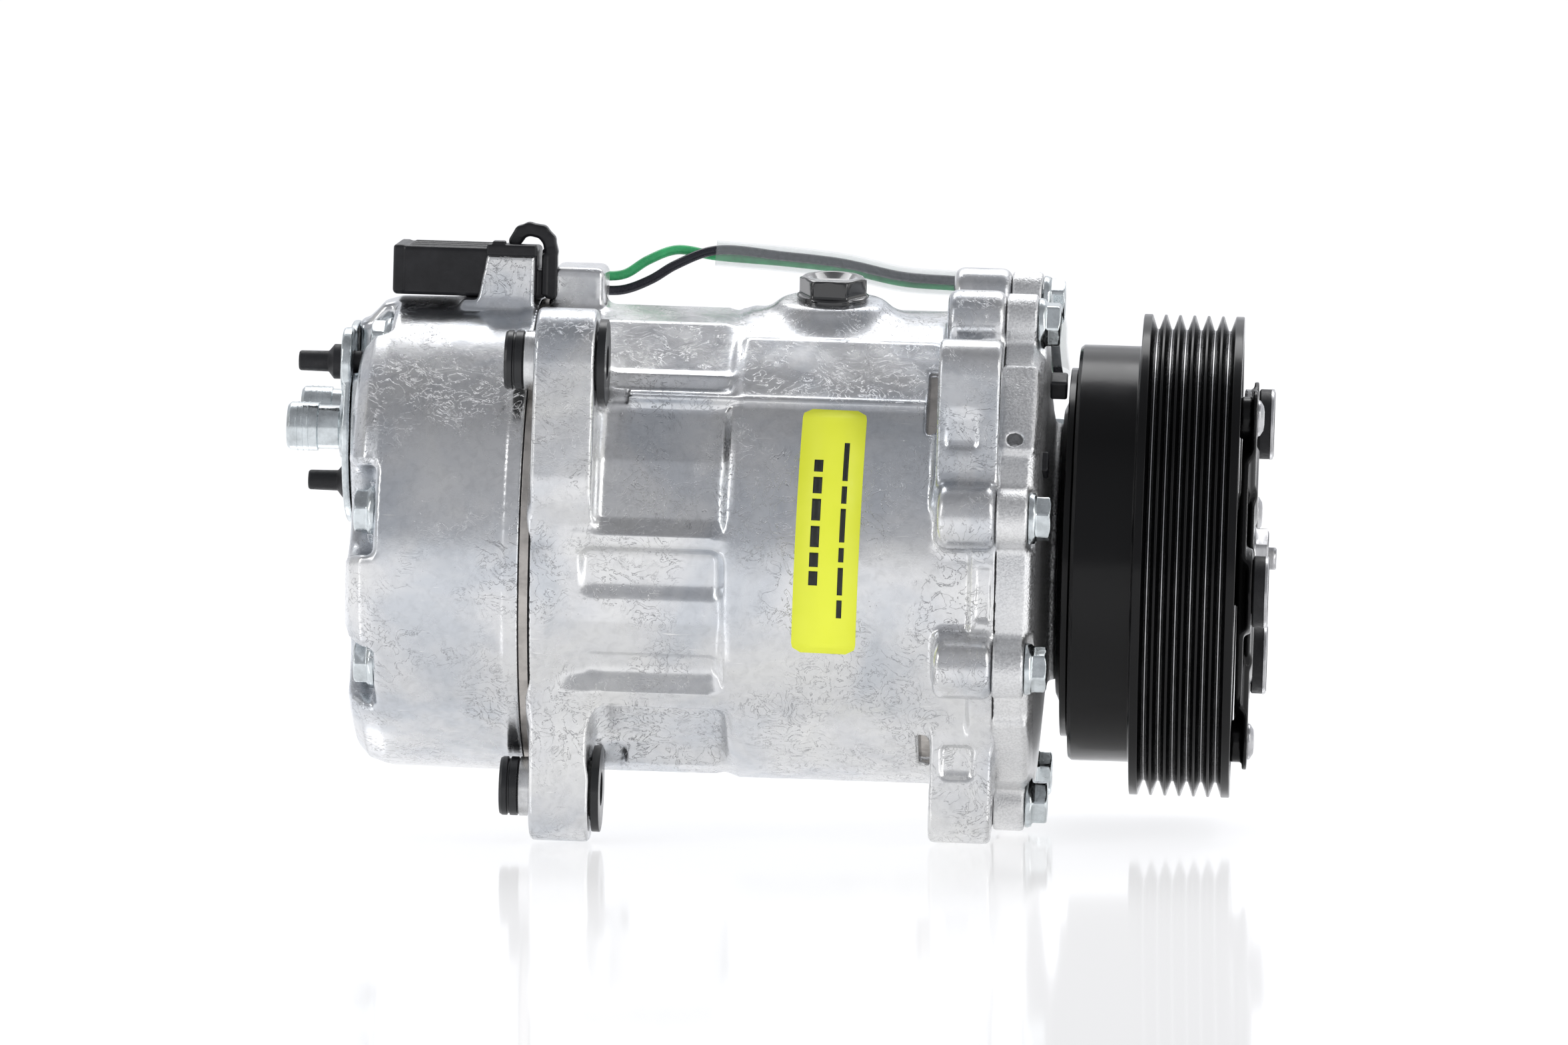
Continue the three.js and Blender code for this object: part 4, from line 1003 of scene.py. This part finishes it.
def pulley():
    rear, front = span("belt_pulley")
    rim = width("belt_pulley") / 2
    rim_rear = front - 25
    grooves = groove_profile(rim_rear, front, rim)
    profile = [
        (rear, 46.6), (rear, 51.2), (rear + 0.9, 51.9), (rim_rear - 0.6, 51.9), (rim_rear, 52.6),
        (rim_rear, rim), *grooves, (front, rim), (front, 54.4),
        (front - 5.3, 52.6), (front - 5.3, 27.8), (76, 27.8), (76, 32), (103, 32), (103, 46.6),
    ]
    lathe("grooved_pulley", profile, "paint", segments=192, edge=0.35, body="pulley",
          replaces=["belt_pulley"])
    rings = [spun(ring(x + 0.13, x + 0.37, r - 0.1, r + 0.08), segments=192, edge=0.02)
             for x, r in grooves[1::4]]
    piece("groove_bottom_rings", *joined(*rings), "steel", body="pulley")
    balls = []
    step = 360 / BALLS_IN_ROW
    for row, x in enumerate(BALL_ROWS):
        for k in range(BALLS_IN_ROW):
            place = around(step * (k + row / 2), BALL_PITCH_RADIUS)
            balls.append(spun(half_round(x, BALL_RADIUS, 10), place, 20, 0.01))
    cage = spun(ring(80.5, 93.5, BALL_PITCH_RADIUS - 0.5, BALL_PITCH_RADIUS + 0.5))
    piece("bearing_ball_rows", *joined(cage, *balls), "steel", body="ball_cage",
          replaces=["bearing_balls"])
    for name, body, bore, land, groove in (
        ("inner", "housing", 17.8, 20.4, 19.6), ("outer", "pulley", 27.6, 24.7, 25.5),
    ):
        race = [(77, bore), (77, land)]
        for x in BALL_ROWS:
            race += [(x - 2, land), (x, groove), (x + 2, land)]
        race += [(97, land), (97, bore)]
        lathe(f"bearing_race_{name}", race, "steel", edge=0.4, body=body,
              replaces=[f"bearing_{name}_race"])


def coil():
    profile = [
        (69.4, 17.6), (69.4, 35.5), (70.8, 38.5), (70.8, 46), (72.6, 46), (72.6, 45.2),
        (101.5, 45.2), (101.5, 33.4), (72, 33.4), (72, 17.6),
    ]
    lathe("clutch_coil", profile, "paint", segments=160, replaces=["field_coil"])
    # The coil's earth lug and moulded lead outlet show over the top of its back plate.
    for name, angle, x in (("coil_lug", 31, (64.6, 66.8)), ("coil_outlet", 62, (66.2, 70.4))):
        y, z = around(angle, 49)
        small = Casting((x[0], y - 6, z - 6), (x[1], y + 6, z + 6), 0.25)
        small.add(chip(angle, *x, 46.6, 51.6, 2.6, 0.5))
        small.finish(name, "plastic")


def clutch():
    rear, front = span("armature_plate")
    disc_profile = [(rear, 29), (rear, 50.6), (rear + 0.5, 51), (front - 0.6, 51), (front, 50.4),
                    (front, 29)]
    lathe("armature_disc", disc_profile, "paint", segments=160, body="armature",
          replaces=["armature_plate"])
    dampers = [middle(f"damper_{k}") for k in (1, 2, 3)]
    x0, x1 = 116.3, high("clutch_hub")
    hub = Casting((99, -57, -57), (x1, 57, 57), 0.42)
    hub.add(turned([(99, 0), (99, 12), (114.3, 12), (115.2, 27), (x1, 27), (x1, 0)], edge=0.4))
    hub.add(post(SHAFT, 30, x0, x1, 0.4))
    hub.add(post(SHAFT, 42, 114, 115.8), 0.6)
    for angle in RIVET_ANGLES:
        end = around(angle, RIVET_RADIUS)
        hub.add(prism(strip(around(angle, 24), end, 8.2, 7), x0, x1, 0.4), 3)
        hub.add(post(end, 5.2, 113.3, x1), 0.6)
    for place in dampers:
        hub.add(post(place, 10.5, x0, x1, 0.4), 2)
    hub.cut(post(SHAFT, SHAFT_RADIUS + 0.05, 90, 125, 0.2))
    hub.finish("clutch_hub_plate", "paint", body="shaft", replaces=["clutch_hub"])
    heads = [
        spun([(x1, 0), (x1, 4.6), (x1 + 0.7, 4.3), (x1 + 1.5, 3), (x1 + 1.7, 1.6), (x1 + 1.7, 0)],
             around(angle, RIVET_RADIUS), 48)
        for angle in RIVET_ANGLES
    ]
    piece("clutch_rivets", *joined(*heads), "steel", body="shaft")
    for k, place in enumerate(dampers):
        node = f"damper_{k + 1}"
        a, b = span(node)
        cup = [(a, 0), (a, 8.2), (a + 0.4, 8.75), (b - 1, 8.75), (b, 8.1), (b, 6.4),
               (b - 0.5, 5.9), (b - 0.5, 0)]
        lathe(f"rubber_damper_{k + 1}", cup, "rubber", place, 72, 0.3, body="shaft", replaces=[node])
        pin = [(b - 0.6, 0), (b - 0.6, 3.2), (b - 0.2, 3.1), (b - 0.1, 2.2), (b - 0.1, 0)]
        rim = [(b - 1, 8), (b - 1, 8.92), (b - 0.3, 8.8), (b - 0.1, 8.4), (b - 0.1, 8)]
        steel = joined(spun(pin, place, 48, 0.1), spun(rim, place, 72, 0.1))
        piece(f"damper_pin_{k + 1}", *steel, "steel", body="shaft")
    seat, bolt_end = span("hub_bolt")
    shape = hexagonal(
        (seat, 0), (seat, 7.9), (seat + 1.2, 7.9), (seat + 1.5, 7.5, 6.5),
        (bolt_end - 2.5, 7.4, 6.5), (bolt_end - 2, 6.4, 6.5), (bolt_end - 2, 2.8),
        (bolt_end - 0.3, 2.8), (bolt_end, 2.4), (bolt_end, 0),
    )
    piece("hub_centre_bolt", *shape, "steel", body="shaft", replaces=["hub_bolt"])


# ---- inside


def inside():
    """The shaft, bearings and pistons; the other inner pieces keep their CAD shapes."""
    start, end = span("drive_shaft")
    shaft = [(start, 0), (start, SHAFT_RADIUS - 1), (start + 1, SHAFT_RADIUS), (112, SHAFT_RADIUS),
             (end, SHAFT_RADIUS - 0.6), (end, 0)]
    lathe("splined_shaft", shaft, "steel", edge=0.4, body="shaft", replaces=["drive_shaft"])
    for name, x0, x1, outer, finish in (
        ("front_shaft_bearing", 61.8, 67.7, BEARING_RADIUS, "steel"),
        ("rear_shaft_bearing", -40, -22, BEARING_RADIUS - 0.9, "steel"),
        ("shaft_seal", 85, 92, BEARING_RADIUS, "gasket"),
    ):
        lathe(name + "_ring", ring(x0, x1, SHAFT_BORE, outer), finish, edge=0.5, replaces=[name])
    skirt = CYLINDER_BORE - 0.3
    land = skirt - 0.95
    for k in range(len(CYLINDER_ANGLES)):
        node = f"piston_{k + 1}"
        crown = low(node)
        ball = half_round(1, 4.2, 12, 3)
        profile = [
            (crown, 0), (crown, skirt - 0.35), (crown + 0.4, skirt), (crown + 3, skirt),
            (crown + 3, land), (crown + 5, land), (crown + 5, skirt), (-36.5, skirt),
            (-36.5, 11.5), (-50, 11.5), (-50, 3.6), (-45, 2.8), (ball[0][0] - 1, 2.7), *ball,
        ]
        lathe(f"single_head_{node}", profile, "machined", middle(node), 64, 0.2, body=node,
              replaces=[node])
    valve = [(19, 0), (19, 6), (19.6, 6.5), (30, 6.5), (30.5, 5.7), (33, 5.7), (33.5, 6.5),
             (52, 6.5), (52, 5), (54.5, 4.8), (54.5, 0)]
    turn = Matrix.Translation((VALVE_X, 0, VALVE_Z)) @ Matrix.Rotation(math.pi / 2, 4, "Z")
    piece("capacity_control_valve", *placed(spun(valve), turn), "steel", replaces=["control_valve"])
    kept = {
        "discharge_reed": "steel", "suction_reed": "steel", "guide_pin": "steel",
        "lug_plate": "steel", "hinge_ball": "steel", "journal": "steel", "wobble_plate": "machined",
    }
    for node, finish in kept.items():
        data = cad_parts[node].data
        data.materials.clear()
        data.materials.append(FINISHES[finish][0])


# ---- connector and leads


def connector():
    x0, x1 = low("connector_housing"), -62.8
    shell = Casting((x0, -13, 59), (high("connector_housing"), 10, 73), 0.26)
    shell.bricks(
        ((x0, -11.6, 60), (x1, 8.6, 72.2), 1.1, 0),
        ((x0, -12, 60.4), (x0 + 3, 9, 72.4), 0.8, 0.3),
        ((x1 - 9, -12, 62), (x1 - 6, 9, 72.4), 0.6, 0.3),
        ((x1 - 3, -9.6, 60), (-60.6, 6.6, 67), 0.6, 0.6),
        ((-61.8, -6, 64), (-60.7, 4, 72), 0.4, 0.3),
        *[((x0 + 4, y - 0.7, 71), (x1 - 10, y + 0.7, 72.6), 0.3, 0.4) for y in (-7.5, -1.5, 4.5)],
    )
    shell.cut(brick((x0 - 3, -10, 61.6), (x0 + 14, 7, 70.6), 0.8))
    shell.finish("coil_connector", "plastic", replaces=["connector_housing"])
    pins = Casting((x0 + 6, -6, 64), (x0 + 15, 3, 68), 0.2)
    pins.bricks(*[((x0 + 6.5, y - 0.5, 65), (x0 + 14.8, y + 0.5, 67.4), 0.2, 0) for y in (-5, 2)])
    pins.finish("connector_pins", "zinc")
    cap = Casting((-76, -16, 69), (-61, -9, 75), 0.22)
    cap.bricks(((-75, -15.6, 70.5), (-62.6, -10.6, 73.4), 0.6, 0),
               ((-73.6, -15.3, 72.6), (-70.4, -10.9, 74.2), 0.4, 0.3))
    cap.finish("connector_cheek_cap", "plastic")
    hook = Casting((-72, -11, 60), (-56, -4, 79), 0.25)
    route = [(-59.4, 61.4), (-59.4, 71.5), (-60, 74.4), (-61.8, 76.4), (-65, 77), (-67, 76.2),
             (-68.4, 74)]
    for a, b in zip(route, route[1:]):
        hook.add(prism(strip(a, b, 1.7, 1.6), -9.6, -5.4, 0.7, axis=1), 0.3)
    hook.add(brick((-61.6, -10, 60.6), (-60.2, -5, 71), 0.4), 0.5)
    hook.finish("connector_hook_clip", "plastic", replaces=["connector_hook"])


SLEEVE_ROUTE = [
    (-20, 19, 70.6), (-3, 20, 69.6), (12, 21, 68.2), (27, 23.5, 65.2), (40, 28.5, 64.2),
    (52, 30, 63.4), (59.5, 28, 62), (64.9, 23.4, 56.8), (66, 17, 49.6), (67, 12, 43.6),
]
LEAD_TAIL = (68.3, 9.3, 39.6)
WIRE_OFFSET = Vector((0, -1, 0.76))


def leads():
    """Both wires run from the connector, through a clear sleeve, down to the coil."""
    starts = {
        "green": ((-58.5, 16.5, 64.6), (-51, 17, 64.2), (-43, 17.8, 64.6), (-37, 19.2, 68.3),
                  (-30, 20.4, 71)),
        "black": ((-58.5, 16.5, 60.8), (-51, 17, 60.6), (-43, 17, 60.8), (-36, 17, 63.6),
                  (-30, 16.9, 67.4)),
    }
    for colour, side, finish in (("green", -1, "green"), ("black", 1, "black_wire")):
        beside = [Vector(p) + side * WIRE_OFFSET for p in (*SLEEVE_ROUTE, LEAD_TAIL)]
        path = smooth_path([*starts[colour], *beside])
        piece(f"coil_lead_{colour}", *swept(path, (1.2,)), finish, flat=False,
              replaces=[f"lead_{colour}"])
    sleeve = swept(smooth_path(SLEEVE_ROUTE), (3.25, 2.9), 32)
    piece("lead_sleeve_tube", *sleeve, "sleeve", flat=False, replaces=["lead_sleeve"])
    a, b = Vector(SLEEVE_ROUTE[-4]), Vector(SLEEVE_ROUTE[-3])
    clip = swept([a.lerp(b, 0.75), a.lerp(b, 0.98)], (3.75, 3.3), 32)
    piece("sleeve_clip", *clip, "zinc")


# ---- label


LABEL_CENTRE = (13.8, 9)
LABEL_HALF_WIDTH = 7.85
LABEL_HALF_ANGLE = 30.3
LABEL_TURN = math.radians(0.9)


def label_patch(x0, x1, a0, a1, height, thickness, corner=0.0):
    """A rounded patch wrapped on the crankcase, turned a little about the label's centre."""
    half_x, half_s = (x1 - x0) / 2, math.radians(a1 - a0) / 2 * SKIN_RADIUS
    mid_x = (x0 + x1) / 2 - LABEL_CENTRE[0]
    mid_s = math.radians((a0 + a1) / 2 - LABEL_CENTRE[1]) * SKIN_RADIUS
    rows = 4 + int(1.5 * half_s)
    points, faces = [], []
    for k in range(rows + 1):
        s = -half_s + 2 * half_s * k / rows
        inset = corner - math.sqrt(max(corner**2 - max(0, abs(s) - half_s + corner) ** 2, 0))
        for x, h in ((-half_x + inset, 0), (half_x - inset, 0), (half_x - inset, thickness),
                     (-half_x + inset, thickness)):
            along, across = mid_x + x, mid_s + s
            turned_x = along * math.cos(LABEL_TURN) + across * math.sin(LABEL_TURN)
            turned_s = across * math.cos(LABEL_TURN) - along * math.sin(LABEL_TURN)
            angle = LABEL_CENTRE[1] + math.degrees(turned_s / SKIN_RADIUS)
            points.append((LABEL_CENTRE[0] + turned_x, *around(angle, SKIN_RADIUS + (height + h))))
    for k in range(rows):
        for j in range(4):
            a, b = 4 * k + j, 4 * k + (j + 1) % 4
            faces.append([a, b, b + 4, a + 4])
    faces += [[3, 2, 1, 0], [4 * rows + j for j in range(4)]]
    return points, outward(points, faces)


# Two columns of plain dashes in place of print, from the top: (length, gap) in degrees.
THIN_DASHES = [(9.6, 1.3), (4.2, 1.2), (8, 1.3), (3.4, 1.3), (6.6, 1.2), (4.4, 1)]
BOLD_DASHES = [(3, 1.3), (4, 1.3), (5.2, 1.3), (5, 1.3), (3.4, 1), (3.4, 1)]


def dashes(x0, x1, top, lengths):
    shapes = []
    for length, gap in lengths:
        shapes.append(label_patch(x0, x1, top - length, top, 0.125, 0.02))
        top -= length + gap
    return shapes


def label():
    """A plain bright label, lifted by a faint painted glow, with two columns of dashes, and the head's
    cast disc.
    """
    x, angle = LABEL_CENTRE
    film = label_patch(x - LABEL_HALF_WIDTH, x + LABEL_HALF_WIDTH, angle - LABEL_HALF_ANGLE,
                       angle + LABEL_HALF_ANGLE, 0.0, 0.12, 2.3)
    piece("body_label", *film, "label", flat=False)
    marks = dashes(16.7, 18, 30.4, THIN_DASHES) + dashes(9.6, 11.8, 25.8, BOLD_DASHES)
    piece("label_dashes", *joined(*marks), "label_ink", flat=False)
    back, front = HEAD_BACK - 1.2, HEAD_BACK + 0.4
    lathe("head_cast_disc", [(back, 0), (back, 6.4), (front, 6.8), (front, 0)], "machined",
          (-24, -17.6), 64, 0.3)


# ---- studio


# The floor rises this much from the rear ears to the front ones. It is a mix of a white that
# glows and a gloss that takes the given share.
FLOOR_HALF_M = 6.0
FLOOR_RISE = 2.8
FLOOR_GLOW = 0.8
FLOOR_GLOSS = 0.33


def floor():
    """A white glossy floor that the ears stand on, so it tips a little along the shaft."""
    rise = FLOOR_RISE / (FRONT_EAR_X[1] - REAR_EAR_X[1])
    half = FLOOR_HALF_M
    corners = [(-half, -half), (half, -half), (half, half), (-half, half)]
    data = bpy.data.meshes.new("floor")
    data.from_pydata([(x, y, x * rise) for x, y in corners], [], [(0, 1, 2, 3)])
    made = in_scene("floor", data)
    made.location.z = -rise * REAR_EAR_X[1] * MM
    gloss = Shader("floor_gloss", base_color=(0.92, 0.92, 0.93), metallic=1.0)
    gloss.set("Roughness", gloss.ramp(gloss.noise(400, 2), (0.3, 0.05), (0.7, 0.09)))
    white = gloss.node("ShaderNodeBsdfPrincipled", {
        "Base Color": (0.6, 0.6, 0.61), "Roughness": 0.6, "Specular IOR Level": 0.0,
        "Emission Color": (1, 1, 1), "Emission Strength": FLOOR_GLOW,
    })
    ends = {1: white.outputs[0], 2: gloss.surface.outputs[0]}
    both = gloss.node("ShaderNodeMixShader", {"Fac": FLOOR_GLOSS, **ends})
    gloss.feed(gloss.output.inputs["Surface"], both.outputs[0])
    data.materials.append(gloss.material)


# The surround's greys: from straight ahead of the near side to straight up, and on the far side
# from the horizon to straight up. The far side takes over where a direction's Y is in FAR_SIDE,
# and side walls, paler on the pulley's side, begin and are full where its X is in SIDE_WALLS.
NEAR_GREYS = [(0.0, 0.5), (0.2, 0.4), (0.33, 0.3), (0.5, 0.32), (0.6, 0.36)]
FAR_GREYS = [(0.0, 0.85), (0.18, 0.9), (0.32, 0.58), (0.55, 0.6), (0.72, 0.95)]
FAR_SIDE = (0.18, 0.5)
SIDE_WALLS = (0.62, 0.86)
PULLEY_WALL_GREY = 0.85
HEAD_WALL_GREY = 0.55
COOL_TINT = (0.97, 0.985, 1.03)
BACKDROP_STRENGTH = 1.1


def surround():
    """A soft studio: grey in front of the object and above it, white behind, and a white backdrop."""
    world = bpy.data.worlds.new("studio")
    bpy.context.scene.world = world
    sky = NodeTree(world)
    direction = sky.node("ShaderNodeTexCoord").outputs["Generated"]
    axes = sky.node("ShaderNodeSeparateXYZ", {0: direction}).outputs

    def ranged(axis, lowest, highest, top=1.0):
        inputs = {"Value": axes[axis], "From Min": lowest, "From Max": highest, "To Max": top}
        return sky.node("ShaderNodeMapRange", inputs).outputs[0]

    def greys(value, stops):
        return sky.ramp(value, *[(at, tuple(tint * grey for tint in COOL_TINT)) for at, grey in stops])

    near, far = greys(ranged("Y", -1, 1), NEAR_GREYS), greys(axes["Z"], FAR_GREYS)
    room = sky.mix(ranged("Y", *FAR_SIDE), near, far)
    for side, grey in ((1, PULLEY_WALL_GREY), (-1, HEAD_WALL_GREY)):
        wall = ranged("X", *(side * reach for reach in SIDE_WALLS), grey)
        room = sky.mix(1.0, room, wall, "LIGHTEN")
    soft = sky.node("ShaderNodeBackground", {"Color": room}).outputs[0]
    backdrop = {"Color": (1, 1, 1), "Strength": BACKDROP_STRENGTH}
    backdrop = sky.node("ShaderNodeBackground", backdrop).outputs[0]
    seen = sky.node("ShaderNodeLightPath").outputs["Is Camera Ray"]
    shown = sky.node("ShaderNodeMixShader", {"Fac": seen, 1: soft, 2: backdrop})
    sky.node("ShaderNodeOutputWorld", {"Surface": shown.outputs[0]})
    bpy.context.scene.view_settings.view_transform = "Standard"


def lamps():
    """Area lamps that face the object, with places and sizes in metres."""
    centre = Vector((0, 0, SHAFT_HEIGHT * MM))
    for name, place, size, watts in (
        ("top_softbox", (0.0, 0.85, 1.25), (1.6, 0.55), 8.5),
        ("left_softbox", (-1.2, -0.7, 0.5), (0.25, 0.9), 2.2),
        ("right_softbox", (1.3, -0.6, 0.5), (0.25, 0.9), 3),
        ("back_softbox", (0.1, 1.4, 0.9), (1.6, 0.7), 1.3),
    ):
        light = bpy.data.lights.new(name, "AREA")
        light.shape = "RECTANGLE"
        light.size, light.size_y = size
        light.energy = watts
        lamp = in_scene(name, light)
        lamp.location = centre + Vector(place)
        lamp.rotation_euler = (centre - lamp.location).to_track_quat("-Z", "Y").to_euler()


CAMERA_TURN = math.radians(3)
CAMERA_RISE = math.radians(5.5)
CAMERA_AWAY_M = 2.5
FRAME_WIDTH_M = 0.392
CAMERA_ROLL = 0.028
AIM_ABOVE_SHAFT = 5


def camera():
    data = bpy.data.cameras.new("camera")
    data.sensor_width = 36
    data.lens = data.sensor_width * CAMERA_AWAY_M / FRAME_WIDTH_M
    made = in_scene("camera", data)
    target = Vector((0, 0, (SHAFT_HEIGHT + AIM_ABOVE_SHAFT) * MM))
    back = Vector((
        math.sin(CAMERA_TURN) * math.cos(CAMERA_RISE),
        -math.cos(CAMERA_TURN) * math.cos(CAMERA_RISE),
        math.sin(CAMERA_RISE),
    ))
    made.location = target + back * CAMERA_AWAY_M
    level = (-back).to_track_quat("-Z", "Y").to_matrix().to_4x4()
    turn = level @ Matrix.Rotation(CAMERA_ROLL, 4, "Z")
    made.rotation_euler = turn.to_euler()
    bpy.context.scene.camera = made


camera()
floor()
surround()
lamps()
block_casting()
head_casting()
housing_casting()
bolts()
oil_plug()
port_cover()
joint_plates()
bushes()
pulley()
coil()
clutch()
inside()
connector()
leads()
label()
